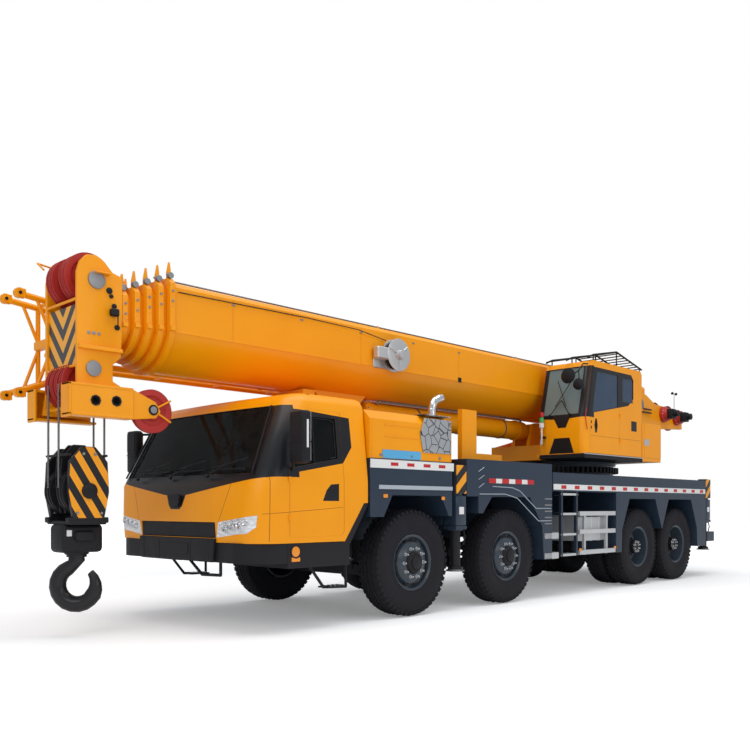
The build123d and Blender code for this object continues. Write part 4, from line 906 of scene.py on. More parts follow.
stick((1.85, 1.685), (3.27, 1.78), 0)
for x in (2.01, 2.28, 2.56, 2.83):
    stick((x, 1.715), (x + 0.12, 1.752), 1, proud=0.005)
stick((2.44, 1.795), (3.07, 1.89), 2, y=1.391, proud=0.006)
stick((1.88, 1.455), (3.14, 1.5), 3, proud=0.01)
stick((0.15, 1.56), (1.15, 1.62), 0)
for x in (0.15, 0.43, 0.72, 1):
    stick((x, 1.56), (x + 0.15, 1.62), 1, proud=0.005)
stick((-5.38, 1.5), (-0.34, 1.58), 0)
for step in range(14):
    x = -5.28 + step * 0.355
    stick((x, 1.515), (x + 0.13, 1.565), 1, proud=0.005)
for step in range(3):
    for side in (1, -1):
        z = 1.5 + step * 0.1
        rod(tape, (1.36, side * 1.402, z), (1.25, side * 1.402, z + 0.055), 0.005, 3, 6)
folds = (((1.34, 1.42), (0.8, 1.425), (0.53, 1.375), (0.03, 1.07), (-0.29, 1.07)),
         ((1.07, 1.52), (0.64, 1.51), (0.47, 1.47), (0.09, 1.24), (-0.28, 1.24)))
for line in folds:
    for side in (1, -1):
        pipe(tape, [(x, side * 1.399, z) for x, z in line], 0.006, 3, 6)
set_up("tape_trims_and_blank_plates", tape, "carrier", "silver", white_paint, warning_red, sky_plate,
       pale_trim)


# ---------------------------------------------------------------- outriggers
# Square beams slide out of the frame; each carries an upright jack leg, its cover marked in slanting yellow
# and black.
def slanted(x, y, z, tone):
    """Yellow and black bands at a slant."""
    along = times(plus(times(x, 0.9), z), 4.3)
    return blend_colour(past(maths("FRACT", along), 0.5), tone, (0.01, 0.01, 0.012))


warning_bands = painted("warning_bands", (0.93, 0.36, 0.006), (0.5, 0.3, 0.1), dust=0.05, pattern=slanted)
for end, x in (("front", 1.59), ("rear", -5.625)):
    for word, side in SIDES:
        leg = bmesh.new()
        leg_x = x + side * 0.108
        slab(leg, (leg_x - 0.095, side * 1.385, 1.42), (leg_x + 0.095, side * 1.402, 1.765))
        slab(leg, (leg_x - 0.1, side * 1.2, 1.03), (leg_x + 0.1, side * 1.399, 1.4), 1, 0.02, 2)
        slab(leg, (leg_x - 0.105, side * 1.2, 0.985), (leg_x + 0.105, side * 1.402, 1.03), 1, 0.006)
        slab(leg, (leg_x - 0.045, side * 1.398, 1.17), (leg_x + 0.045, side * 1.403, 1.26), 2, 0.001)
        hose = ((0.07, 1.37, 0.99), (0.09, 1.38, 0.9), (0.08, 1.36, 0.8))
        pipe(leg, [(leg_x - back, side * out, z) for back, out, z in hose], 0.009, 3)
        set_up(f"leg_cover_{end}_{word}", leg, f"outrigger_beam_{end}_{word}", "navy_paint", warning_bands,
               slate_paint, white_paint, black_paint)
        foot = bmesh.new()
        lathe(foot, [(0, 0), (0, 0.115), (0.012, 0.12), (0.02, 0.1), (0.045, 0.06), (0.06, 0.052), (0.06, 0)],
              (leg_x, side * 1.3, 0.478), (0, 0, 1), 28)
        set_up(f"jack_float_{end}_{word}", foot, f"jack_{end}_{word}", "steel", bare_steel)

# ---------------------------------------------------------------- deck, steps, tank and rear lamps
# Chequered plate deck with bright folded steps; the tank is ribbed, strapped and silver, behind a side guard.
bits = bmesh.new()
for side in (1, -1):
    for z in (0.86, 0.585):
        slab(bits, (-0.48, side * 1.21, z - 0.045), (-0.11, side * 1.4, z + 0.045), 0, 0.008)
    for x in (-1.78, -1.56, -1.34):
        slab(bits, (x - 0.02, side * 0.79, 0.752), (x + 0.02, side * 1.3, 1.118), 0, 0.01)
    for x in (-0.98, -0.54):
        for z in (0.58, 0.87, 1.16, 1.44):
            rod(bits, (x, side * 1.392, z), (x, side * 1.404, z), 0.012, 1)
    filler = [(0, 0), (0, 0.05), (0.03, 0.05), (0.035, 0.04), (0.035, 0)]
    lathe(bits, filler, (-1.45, side, 1.108), (0, 0, 1), 20, 1)
    for x in (-1.05, -2.06):
        slab(bits, (x - 0.03, side * 1.396, 0.62), (x + 0.03, side * 1.404, 0.66), 2, 0.003)
    for step in range(5):
        z = 1.02 + step * 0.085
        slab(bits, (-0.3, side * 1.38, z), (-0.12, side * 1.405, z + 0.02), 1)
set_up("steps_straps_and_filler", bits, "carrier", "silver", silver_paint, bare_steel, amber_lens)

treads = bmesh.new()
for row in range(26):
    for side in (1, -1):
        for column in range(3):
            x = -5.3 + row * 0.19
            if abs(x + 2.7) < 1:  # the slewing ring stands here
                continue
            y = side * (0.72 + column * 0.24)
            slab(treads, (x - 0.05, y - 0.008, 1.739), (x + 0.05, y + 0.008, 1.744), 0, 0.002)
            slab(treads, (x + 0.087, y + 0.07, 1.739), (x + 0.103, y + 0.17, 1.744), 0, 0.002)
set_up("deck_chequer_bars", treads, "carrier", "navy_paint", slate_paint)

bits = bmesh.new()
for side in (1, -1):
    for y, paint in ((0.96, 0), (1.05, 1), (1.14, 0)):
        lens = [(0, 0.042), (0.008, 0.04), (0.014, 0.028), (0.016, 0)]
        lathe(bits, lens, (-6.16, side * y, 0.71), (-1, 0, 0), 20, paint)
    slab(bits, (-6.165, side * 0.55 - 0.22, 0.66), (-6.155, side * 0.55 + 0.22, 0.74), 2, 0.003)
set_up("tail_lamp_lenses", bits, "carrier", "lens", warning_red, amber_lens, white_paint)

# ---------------------------------------------------------------- slewing ring
# Cast ring bolted down to the deck with a circle of bolts, its toothed rim in black grease.
SLEW_X = -2.7
TEETH, BOLTS = 72, 48
bits = bmesh.new()
for step in range(TEETH):
    turn = Matrix.Translation((SLEW_X, 0, 1.86)) @ Matrix.Rotation(tau * step / TEETH, 4, "Z")
    made = bmesh.ops.create_cube(bits, size=1)["verts"]
    place = turn @ Matrix.Translation((0.955, 0, 0)) @ Matrix.Diagonal((0.06, 0.042, 0.09, 1))
    bmesh.ops.transform(bits, verts=made, matrix=place)
for step in range(BOLTS):
    angle = tau * (step + 0.5) / BOLTS
    x, y = SLEW_X + 0.925 * cos(angle), 0.925 * sin(angle)
    rod(bits, (x, y, 1.74), (x, y, 1.775), 0.017, 1, 6)
lathe(bits, [(0, 0.9), (0, 0.965), (0.03, 0.965), (0.03, 0.9)], (SLEW_X, 0, 1.742), (0, 0, 1), TEETH)
set_up("ring_teeth_and_bolts", bits, "carrier", "cast", black_paint, bare_steel)

# ---------------------------------------------------------------- winches and turntable
# Two drums wound with bright wire rope between flanges, a motor at one end, and pipes along the turntable's
# cheeks.
def strands(x, y, z, tone):
    """Fine slanting lay of wire rope."""
    lay = maths("FRACT", plus(times(plus(x, y), 60), times(z, 60)))
    return blend_colour(maths("LESS_THAN", lay, 0.4), tone, (0.06, 0.06, 0.06))


wire_rope = painted("wire_rope", (0.3, 0.29, 0.28), (0.2, 0.2, 0.2), roughness=0.42, dust=0.1, gloss=0,
                    pattern=strands, metal=0.8)
for name, x, z in (("main", -5.43, 3.01), ("rear", -5.98, 2.99)):
    drum = bmesh.new()
    turns = []
    for turn in range(30):
        y = -0.375 + turn * 0.0258  # one turn of rope after another
        turns += [(y - 0.0115, 0.186), (y - 0.006, 0.196), (y + 0.006, 0.196), (y + 0.0115, 0.186)]
    lathe(drum, [(-0.388, 0.165)] + turns + [(0.388, 0.165)], (x, 0, z), (0, 1, 0))
    for y in (-0.42, 0.39):
        lathe(drum, [(y, 0), (y, 0.242), (y + 0.03, 0.242), (y + 0.03, 0)], (x, 0, z), (0, 1, 0), 48, 1)
    for side in (1, -1):
        cap = [(0, 0.15), (0.05, 0.15), (0.06, 0.135), (0.12, 0.12), (0.13, 0.05), (0.13, 0)]
        lathe(drum, cap, (x, side * 0.572, z), (0, side, 0), 32, 1 if side > 0 else 2)
        bolt_ring(drum, (x, 0, z), side, 0.13, (0.6, 0.635), 12, paint=3)
    slab(drum, (x - 0.09, 0.66, z - 0.09), (x + 0.09, 0.8, z + 0.09), 2, 0.015, 2)
    rod(drum, (x, 0.79, z), (x, 0.88, z), 0.06, 2, 20)
    set_up(f"{name}_winch_rope_and_motor", drum, "upper_works", "red_paint", wire_rope, red_paint,
           black_paint, stud_metal)

bits = bmesh.new()
for side in (1, -1):
    for z0, z1 in ((2.62, 3.2), (2.56, 3.14)):
        pipe(bits, [(-2.2, side * 0.6, 2.27), (-2.7, side * 0.6, z0 - 0.05), (-4.1, side * 0.6, z1 - 0.15),
                    (-4.9, side * 0.6, z1 - 0.15)], 0.013)
    for x, z, r in ((-4.5, 3.1, 0.13), (-2.6, 2.35, 0.05), (-3.2, 2.62, 0.05)):
        cover = [(0, r), (0.02, r), (0.03, r * 0.85), (0.03, r * 0.5), (0.05, r * 0.5), (0.05, 0)]
        lathe(bits, cover, (x, side * 0.572, z), (0, side, 0), 28, 1)
    for bolt in range(9):
        x = -3.6 + bolt * 0.24
        rod(bits, (x, side * 0.6, 2.02), (x, side * 0.615, 2.02), 0.013, 2, 6)
# access cover with its plate beside the operator's cab, the bright step plate, and the wind gauge
slab(bits, (-3.64, 1.379, 2.06), (-3.06, 1.386, 2.62), 3, 0.01)
slab(bits, (-3.22, 1.384, 2.26), (-3.05, 1.389, 2.36), 4, 0.002)
slab(bits, (-3, 0.6, 1.985), (-1.2, 1.383, 2.05), 5, 0.006)
slab(bits, (-3.02, 1.378, 2.04), (-1.18, 1.388, 2.054), 4, 0.003)
rod(bits, (-5.98, 0.54, 3.12), (-5.98, 0.54, 3.46), 0.008, 2)
rod(bits, (-6.06, 0.54, 3.46), (-5.9, 0.54, 3.46), 0.005, 2)
for x in (-6.06, -5.9):
    lathe(bits, [(-0.02, 0), (-0.02, 0.02), (0, 0.028), (0.02, 0.02), (0.02, 0)], (x, 0.54, 3.46), (1, 0, 0),
          12, 5)
set_up("turntable_pipes_covers_and_gauge", bits, "upper_works", "orange_paint", black_paint, bare_steel,
       stud_metal, orange_paint, silver_paint, black_paint)

# ---------------------------------------------------------------- boom
# Six nested box sections with a round belly, welded along a seam; each has a collar with lugs and small rope
# guides.
bits = bmesh.new()
for side in (1, -1):
    slab(bits, (-4.8, side * 0.478, 2.996), (5.1, side * 0.484, 3.002), 0, 0.001)
    for x in (-4.2, -2.9, -1.2, 0.6, 2.5, 4.4):
        slab(bits, (x, side * 0.478, 3), (x + 0.006, side * 0.484, 3.44), 0, 0.001)
# small plates riveted to the left wall
slab(bits, (0.55, 0.478, 2.985), (0.62, 0.486, 3.05), 1, 0.002)
for step in range(5):
    x = 0.6 + step * 0.95
    slab(bits, (x - 0.02, 0.478, 3.38), (x + 0.02, 0.486, 3.4), 2, 0.001)
# guides that carry the rope over the boom's top
for x in (-4.3, -1.2, 1.9, 5):
    for side in (1, -1):
        slab(bits, (x - 0.012, side * 0.18 - 0.006, 3.495), (x + 0.012, side * 0.18 + 0.006, 3.6), 0, 0.003)
    rod(bits, (x, -0.18, 3.585), (x, 0.18, 3.585), 0.022, 2, 12)
# cable reel on the left side: a coil of grey lead between thin flanges on a bracket
REEL = (1.95, 0.49, 3.17)
lathe(bits, [(0, 0.05), (0, 0.2), (0.01, 0.204), (0.012, 0.2), (0.012, 0.1), (0.1, 0.1), (0.1, 0.2),
             (0.112, 0.204), (0.116, 0.19), (0.116, 0.06), (0.18, 0.055), (0.185, 0)], REEL, (0, 1, 0), 48, 3)
for step in range(7):
    lead = [(0.016, 0.168), (0.022, 0.175), (0.028, 0.168)]
    lathe(bits, [(out + step * 0.012, r) for out, r in lead], REEL, (0, 1, 0), 40, 1)
for step in range(3):
    angle = tau * step / 3 + 0.4
    rod(bits, (1.95, 0.615, 3.17), (1.95 + 0.19 * cos(angle), 0.608, 3.17 + 0.19 * sin(angle)), 0.01, 3)
slab(bits, (1.82, 0.478, 2.99), (2.3, 0.5, 3.1), 3, 0.01)
slab(bits, (2.1, 0.5, 3.09), (2.32, 0.6, 3.24), 3, 0.015)
pipe(bits, [(2.1, 0.52, 3.34), (2.6, 0.53, 3.4), (3.4, 0.5, 3.42), (5.08, 0.5, 3.4)], 0.006, 1, 6)
set_up("boom_seams_guides_and_reel", bits, "boom_base", "orange_paint", orange_paint, black_paint, bare_steel,
       silver_paint)


def collar_lugs(mesh, number):
    """Two upright lugs with a small pulley each, side pads and two rope eyes at a section's front collar."""
    step_in = number * 0.042  # each section is this much smaller than the one before
    front = 5.18 + number * 0.105
    top = 3.5 - step_in
    half = 0.48 - step_in
    for side in (1, -1):
        y = side * (half - 0.05)
        lug = [(-0.058, 0.01), (-0.004, 0.01), (-0.004, 0.09), (-0.026, 0.2), (-0.044, 0.2), (-0.058, 0.09)]
        side_plate(mesh, [(front + x, top + z) for x, z in lug], y + 0.007, 0.014)
        pulley = [(-0.02, 0), (-0.02, 0.032), (-0.008, 0.024), (0.008, 0.024), (0.02, 0.032), (0.02, 0)]
        lathe(mesh, pulley, (front - 0.03, y + side * 0.03, top + 0.06), (0, 1, 0), 16, 2)
        outer = side * (half + 0.032)
        slab(mesh, (front - 0.055, outer, top - 0.26), (front - 0.005, outer - side * 0.02, top - 0.05))
        for z in (top - 0.1, top - 0.2):
            rod(mesh, (front - 0.03, outer - side * 0.004, z), (front - 0.03, outer + side * 0.01, z), 0.013,
                2, 6)
        slab(mesh, (front - 0.05, outer, 3), (front + 0.004, outer + side * 0.03, 3.045), 0, 0.005)
    for y in (-0.22, 0.22):
        rod(mesh, (front - 0.052, y, top + 0.028), (front - 0.008, y, top + 0.028), 0.02, 2, 12)


for number, body in enumerate(("boom_base", "boom_section_2", "boom_section_3", "boom_section_4",
                               "boom_section_5")):
    lugs = bmesh.new()
    collar_lugs(lugs, number)
    set_up(f"collar_lugs_{number + 1}", lugs, body, "orange_paint", orange_paint, black_paint, bare_steel)

bits = bmesh.new()
for side in (1, -1):
    low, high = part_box("cylinder_bracket")
    y = high.y if side > 0 else low.y
    boss(bits, (2.45, y, 2.48), side, 0.1, 0.085, 0.012, 0.016, 24, 0)
    bolt_ring(bits, (2.45, y, 2.48), side, 0.06, (0, 0.024), 6)
set_up("bracket_pin_plates", bits, "boom_base", "orange_paint", orange_paint, bare_steel)

# ---------------------------------------------------------------- boom head
# Two plates carry a tall and a low pair of rope sheaves; a box at their foot holds a third sheave on a fork
# behind it.
def chevrons(x, y, z, tone):
    """Yellow and black arrowheads that point down."""
    along = times(maths("SUBTRACT", z, times(maths("ABSOLUTE", y), 1.15)), 4.4)
    return blend_colour(past(maths("FRACT", along), 0.5), tone, (0.035, 0.035, 0.04))


HOOK_X = 5.9
TALL_X, TALL_Z = 5.87, 3.44  # the upper sheaves' pin
chevron_paint = painted("chevron_paint", (0.93, 0.4, 0.02), (0.5, 0.3, 0.1), dust=0.05, pattern=chevrons)
head = bmesh.new()
head.from_mesh(nodes["boom_section_6"].data)
bmesh.ops.remove_doubles(head, verts=head.verts, dist=0.00005)
bmesh.ops.bisect_plane(head, geom=head.verts[:] + head.edges[:] + head.faces[:], plane_co=(5.592, 0, 0),
                       plane_no=(1, 0, 0), clear_outer=True)
for face in head.faces:
    face.material_index = 0
cheek = [(5.615, 2.7), (5.6, 3), (5.6, 3.47), (5.7, 3.5), (5.8, 3.6), (5.87, 3.635), (5.97, 3.62),
         (6.03, 3.55), (6.06, 3.45), (6.06, 2.42), (6.1, 2.15), (5.62, 2.15), (5.62, 2.42), (5.7, 2.46),
         (5.7, 2.62)]
for side in (1, -1):
    side_plate(head, cheek, 0.34 if side > 0 else -0.3, 0.04, 0, 0.005)
    slab(head, (5.61, side * 0.335, 2.735), (6.055, side * 0.375, 2.775), 0, 0.006)
    slab(head, (5.54, side * 0.3, 2.375), (6.19, side * 0.45, 2.4), 0, 0.006)
    slab(head, (5.54, side * 0.3, 2.1), (6.19, side * 0.45, 2.125), 0, 0.006)
    wall = [(5.54, 2.12), (6.19, 2.12), (6.19, 2.385), (5.54, 2.385)]
    side_plate(head, wall, 0.445 if side > 0 else -0.425, 0.02, 0, 0.004)
    slab(head, (6.165, side * 0.28, 2.085), (6.19, side * 0.45, 2.4), 0, 0.006)
    # black discs with a lip fill each wall's two holes: painted shade for the dark inside of the box
    for x, z in ((5.72, 2.26), (5.93, 2.25)):
        shaded_hole = [(0, 0.052), (0.006, 0.052), (0.006, 0.04), (-0.001, 0.038), (-0.001, 0)]
        lathe(head, shaded_hole, (x, side * 0.446, z), (0, side, 0), 8, 1)
    for x, z, r in ((5.74, 3.32, 0.03), (5.66, 2.98, 0.026), (5.72, 3.27, 0.02), (5.69, 3.18, 0.024)):
        boss(head, (x, side * 0.34, z), side, r, r * 0.7, 0.012, 0.016, 16, 3)
    boss(head, (TALL_X, side * 0.34, 3.4), side, 0.085, 0.06, 0.018, 0.022)
    boss(head, (HOOK_X, side * 0.34, 2.56), side, 0.075, 0.05, 0.016, 0.02)
    slab(head, (5.74, side * 0.34, 3.46), (5.9, side * 0.4, 3.475))
    for step in range(3):
        slab(head, (5.83 + step * 0.05, side * 0.338, 2.88), (5.86 + step * 0.05, side * 0.346, 2.91), 2,
             0.002)
# chevron board, rope guards and the pegs on the left plate
slab(head, (6.02, -0.3, 2.58), (6.036, 0.3, 3.16), 4, 0.003)
slab(head, (5.6, -0.3, 2.72), (5.63, 0.3, 3.3))
for x, z in ((5.86, 3.6), (6.05, 3.2), (6.05, 2.58), (6.05, 2.2)):
    rod(head, (x, -0.31, z), (x, 0.31, z), 0.014, 0, 10)
slab(head, (5.66, 0.34, 3.08), (5.74, 0.4, 3.15), 3, 0.01)
rod(head, (5.67, 0.38, 3.1), (5.67, 0.38, 2.98), 0.006, 3, 6)
# fork of the third sheave
FORK_X, FORK_Z = 5.32, 2.21
for y in (0.345, 0.412):
    side_plate(head, [(5.56, 2.1), (5.56, 2.4), (5.29, 2.29), (5.235, 2.2), (5.29, 2.13)], y + 0.018, 0.018,
               0, 0.004)
rod(head, (FORK_X, 0.33, FORK_Z), (FORK_X, 0.445, FORK_Z), 0.035, 2, 16)
rod(head, (FORK_X, 0.428, FORK_Z), (FORK_X, 0.438, FORK_Z), 0.052, 3, 24)
for angle in (0.5, -0.5):
    spoke = [(FORK_X - reach * cos(angle), 0.425, FORK_Z + reach * sin(angle)) for reach in (0.02, 0.225)]
    rod(head, *spoke, 0.01)
# guide bow over the tall sheaves
pipe(head, [(6, -0.28, 3.6), (6.16, -0.28, 3.62), (6.18, -0.1, 3.52)], 0.01)
set_up("sixth_section_and_head", head, "boom_section_6", "orange_paint", orange_paint, black_paint,
       bare_steel, black_paint, chevron_paint, hides=["boom_section_6"])


def sheave(mesh, x, y, z, radius, paint=0):
    """Cast rope wheel with a deep groove, a thin web and a hub."""
    half = [(0.008, radius - 0.028), (0.018, radius), (0.03, radius), (0.03, radius - 0.06),
            (0.012, radius - 0.075), (0.012, 0.095), (0.04, 0.085), (0.04, 0)]
    lathe(mesh, [(-along, r) for along, r in reversed(half)] + half, (x, y, z), (0, 1, 0), 48, paint)


wheels = bmesh.new()
for y in (-0.17, -0.1, 0.1, 0.17):
    sheave(wheels, TALL_X, y, TALL_Z, 0.245)
for y in (-0.15, -0.05, 0.05, 0.15):
    sheave(wheels, HOOK_X, y, 2.42, 0.235)
sheave(wheels, FORK_X, 0.387, 2.2, 0.215)
rod(wheels, (TALL_X, -0.3, TALL_Z), (TALL_X, 0.3, TALL_Z), 0.06, 1, 20)
rod(wheels, (HOOK_X, -0.3, 2.42), (HOOK_X, 0.3, 2.42), 0.055, 1, 20)
set_up("head_rope_wheels", wheels, "boom_section_6", "red_paint", red_paint, bare_steel,
       hides=["head_sheaves"])

# ---------------------------------------------------------------- folded jib's end frame
# Square and round tubes weld into an end frame whose forked eyes pin to the boom head; pins are black.
END_X = 5.86
tubes = bmesh.new()
for y in (-0.96, -0.62):
    rod(tubes, (END_X, y, 2.42), (END_X, y, 3.37), 0.024, 0, 10)
    rod(tubes, (END_X, y, 2.98), (6.02, y, 3.36), 0.018, 0, 10)
    rod(tubes, (END_X, y, 2.9), (6.03, y, 2.44), 0.018, 0, 10)
    for z in (3.39, 2.4):
        for offset in (-0.032, 0.02):
            slab(tubes, (6.14, y + offset, z - 0.045), (6.235, y + offset + 0.012, z + 0.045), 0, 0.01)
        rod(tubes, (6.2, y - 0.045, z), (6.2, y + 0.045, z), 0.016, 1, 12)
for z in (2.43, 2.95, 3.36):
    rod(tubes, (END_X, -0.96, z), (END_X, -0.62, z), 0.02, 0, 10)
slab(tubes, (5.82, -0.98, 2.9), (5.9, -0.6, 2.99), 0, 0.01)
slab(tubes, (5.83, -0.66, 2.82), (5.89, -0.6, 2.88), 1, 0.01)
for x in (-1.9, -0.2, 1.5, 3.2, 4.9):
    for z in (2.76, 3.28):
        slab(tubes, (x - 0.03, -0.64, z - 0.04), (x + 0.03, -0.6, z + 0.04), 0, 0.006)
set_up("jib_end_frame", tubes, "boom_base", "orange_paint", orange_paint, black_paint)

# ---------------------------------------------------------------- luffing cylinder
# Orange barrel with a gland nut and pipes; the rod is hard chromed and ends in an eye on the boom's bracket.
BARREL_Z = 2.48
barrel = bmesh.new()
gland = [(0, 0.146), (0, 0.165), (0.1, 0.165), (0.11, 0.155), (0.14, 0.155), (0.145, 0.1)]
lathe(barrel, gland, (1.93, 0, BARREL_Z), (1, 0, 0), 40)
for step in range(16):
    angle = tau * step / 16
    y, z = 0.158 * cos(angle), BARREL_Z + 0.158 * sin(angle)
    rod(barrel, (2.03, y, z), (2.045, y, z), 0.01, 1, 6)
pipe(barrel, [(-1.45, 0.1, 2.6), (-1.4, 0.1, 2.645), (1.8, 0.1, 2.645), (1.85, 0.1, 2.6)], 0.014, 1)
for x in (-1, 0, 1):
    lathe(barrel, [(0, 0.146), (0, 0.152), (0.03, 0.152), (0.03, 0.146)], (x, 0, BARREL_Z), (1, 0, 0), 40, 1)
lathe(barrel, [(0, 0.146), (0, 0.158), (0.08, 0.158), (0.08, 0.146)], (-1.45, 0, BARREL_Z), (1, 0, 0), 40)
set_up("cylinder_gland_and_pipes", barrel, "luffing_cylinder", "orange_paint", orange_paint, bare_steel)

# ---------------------------------------------------------------- falls, hook block and hook
# Four falls of wire rope hang from the head; the block's cheeks are striped outside, and the forged hook is
# black.
falls = bmesh.new()
for y in (-0.11, 0.11):
    for x in (5.6695, 6.1305):
        rod(falls, (x, y, 1.44), (x, y, 2.42), 0.01, 0, 12)
rope_falls = set_up("rope_falls", falls, None, "steel", wire_rope, hides=["hoist_ropes"])
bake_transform(rope_falls)
top_run = bmesh.new()
for y in (-0.1, 0.1):
    pipe(top_run, [(-5.35, y, 3.19), (-4.3, y, 3.61), (1.9, y, 3.612), (5.12, y, 3.615)], 0.01)
set_up("rope_over_boom", top_run, "boom_base", "steel", wire_rope)
head_run = bmesh.new()
for y in (-0.1, 0.1):
    rod(head_run, (5.6, y, 3.56), (5.8, y, 3.675), 0.01)
set_up("rope_at_head", head_run, "boom_section_6", "steel", wire_rope)


def cheek_bands(x, y, z, tone):
    """Slanting yellow bands on the left and right cheeks only."""
    along = plus(times(maths("SUBTRACT", x, times(z, 0.62)), 6.2), 0.2)
    band = times(past(maths("FRACT", along), 0.52), past(maths("ABSOLUTE", y), 0.258))
    return blend_colour(band, tone, (0.93, 0.36, 0.01))


cheek_paint = painted("cheek_paint", (0.01, 0.01, 0.012), (0.08, 0.08, 0.08), roughness=0.38, dust=0.03,
                      gloss=0.2, pattern=cheek_bands)
block = bmesh.new()
# pear-shaped cheek, left and right
outline = [(5.835, 1.83), (5.71, 1.69), (5.695, 1.4), (5.75, 1.12), (6.05, 1.12), (6.105, 1.4), (6.09, 1.69),
           (5.965, 1.83)]
for side in (1, -1):
    side_plate(block, outline, 0.26 if side > 0 else -0.21, 0.05, 1, 0.006)
    inner = [(x * 0.93 + HOOK_X * 0.07, z * 0.93 + 0.155) for x, z in outline]
    side_plate(block, inner, 0.06 if side > 0 else -0.04, 0.02, 0, 0.004)
    boss(block, (HOOK_X, side * 0.26, 1.41), side, 0.075, 0.055, 0.02, 0.026, 24, 0)
    for x, z in ((5.78, 1.2), (6.02, 1.2), (5.84, 1.76), (5.96, 1.76)):
        rod(block, (x, side * 0.2, z), (x, side * 0.275, z), 0.014, 2, 6)
    slab(block, (5.7, side * 0.18, 1.105), (6.1, side * 0.262, 1.16), 0, 0.008)
for y in (-0.16, -0.1, 0.1, 0.16):
    sheave(block, HOOK_X, y, 1.41, 0.235)
for z in (1.75, 1.45):
    for x in (5.72, 6.08):
        rod(block, (x, -0.255, z), (x, 0.255, z), 0.012)
slab(block, (5.72, -0.26, 1.09), (6.08, 0.26, 1.125), 0, 0.01)
slab(block, (5.695, -0.15, 0.82), (6.105, 0.15, 1.095), 0, 0.045, 3)
slab(block, (5.8, -0.2, 0.93), (6, 0.2, 1.03), 0, 0.03, 2)
slab(block, (6.02, 0.148, 0.98), (6.07, 0.155, 1.04), 3)
lathe(block, [(0, 0.06), (0, 0.11), (0.03, 0.12), (0.03, 0.06)], (HOOK_X, 0, 0.8), (0, 0, 1), 28)
set_up("hook_block_striped", block, "hook_block", "black_paint", black_paint, cheek_paint, bare_steel,
       white_paint, hides=["hook_block"])

# the hook: a round section, thickest at its bow, swept from the shank round the mouth to the tip
forged_black = painted("forged_black", (0.008, 0.008, 0.01), (0.06, 0.06, 0.06), roughness=0.36, dust=0.03,
                       gloss=0.25)
forged = bmesh.new()
BOW_Z, BOW_R = 0.5, 0.184
turn = Matrix.Translation((HOOK_X, 0, 0)) @ Matrix.Rotation(radians(135), 4, "Z")
stations = []
for z, half in ((0.99, 0.062), (0.86, 0.062), (0.8, 0.07), (0.74, 0.08)):
    stations.append(((0, z), (1, 0), half, 0.066))
for step in range(17):
    angle = radians(68 - step * 18.2)
    wide = 0.072 + 0.01 * sin(pi * min(1, step / 12)) if step < 12 else 0.078 - (step - 12) * 0.011
    middle = (-BOW_R * cos(angle), BOW_Z + BOW_R * sin(angle))
    stations.append((middle, (-cos(angle), sin(angle)), wide, wide * 0.95))
rings = []
for (u, z), (du, dz), half, deep in stations:
    ring = []
    for spoke in range(20):
        a = tau * spoke / 20
        point = Vector((u + du * half * cos(a), deep * sin(a), z + dz * half * cos(a)))
        ring.append(forged.verts.new(turn @ point))
    rings.append([forged.edges.new((ring[i], ring[(i + 1) % 20])) for i in range(20)])
for first, second in zip(rings, rings[1:]):
    bmesh.ops.bridge_loops(forged, edges=first + second)
for ring in (rings[0], rings[-1]):
    bmesh.ops.edgeloop_fill(forged, edges=ring)
lathe(forged, [(0, 0), (0, 0.095), (0.045, 0.095), (0.05, 0.062)], (HOOK_X, 0, 0.775), (0, 0, 1), 24)
set_up("forged_hook", forged, "hook", "black_paint", forged_black, bare_steel, hides=["hook"], soft_angle=60)

# ---------------------------------------------------------------- operator's cab
# Upright welded cab in orange with black window surrounds, a hinged side door and a barred guard over its
# roof.
def operator_zones(x, y, z, tone):
    """Black window surrounds, the notch under the screen and the kick recess, then the door's seam lines."""
    side = inside(x, z, [(-2.69, 2.97), (-2.52, 2.85), (-1.1, 2.6), (-1.1, 3.345), (-2.62, 3.345),
                         (-2.69, 3.27)])
    side = times(side, past(y, 1.24))
    screen = inside(y, z, [(0.5, 2.6), (0.84, 2.575), (1.14, 2.575), (1.5, 2.6), (1.5, 3.36), (0.5, 3.36)])
    notch = inside(y, z, [(0.93, 2.44), (1.06, 2.44), (1.14, 2.6), (0.85, 2.6)])
    kick = inside(y, z, [(0.75, 2.03), (1.2, 2.03), (1.12, 2.29), (0.86, 2.29)])
    front = times(either(screen, notch, kick), past(x, -1.47))
    handle = [(-1.58, 2.475), (-1.555, 2.37), (-1.505, 2.37), (-1.48, 2.475), (-1.505, 2.58), (-1.555, 2.58)]
    vent = inside(x, z, rectangle(-2.8, -2.62, 2.46, 2.62))
    dark = times(either(inside(x, z, handle), vent), past(y, 1.3))
    tone = blend_colour(either(side, front, dark), tone, TRIM_BLACK)
    line = times(inside(x, z, rectangle(-2.95, -1.38, 2.318, 2.323)), past(y, 1.3))
    return blend_colour(line, tone, SEAM_AND_CREASE_SHADE)


operator_paint = painted("operator_paint", ORANGE, FADED_ORANGE, dust=0.02, gloss=0.1, pattern=operator_zones,
                         wear=0.3)


def operator_form(inset):
    """Closed form of the operator's cab, drawn in by an inset, with its outer front corner rounded."""
    front, rear, roof, floor = -1.2 - inset, -2.97 + inset, 3.44 - inset, 2.06 + inset
    outline = [(rear, floor), (front - 0.02, floor), (front, 2.6), (front - 0.19, roof - 0.06),
               (front - 0.25, roof), (rear + 0.05, roof), (rear, roof - 0.05)]
    mesh = along_y((outline, 0.61 + inset, 1.38 - inset))
    outer = [edge for edge in mesh.edges if all(vert.co.y > 1.3 and vert.co.x > front - 0.21
                                                for vert in edge.verts)]
    bmesh.ops.bevel(mesh, geom=outer, offset=0.11 - inset, affect="EDGES", segments=5, profile=0.5,
                    material=-1)
    return mesh
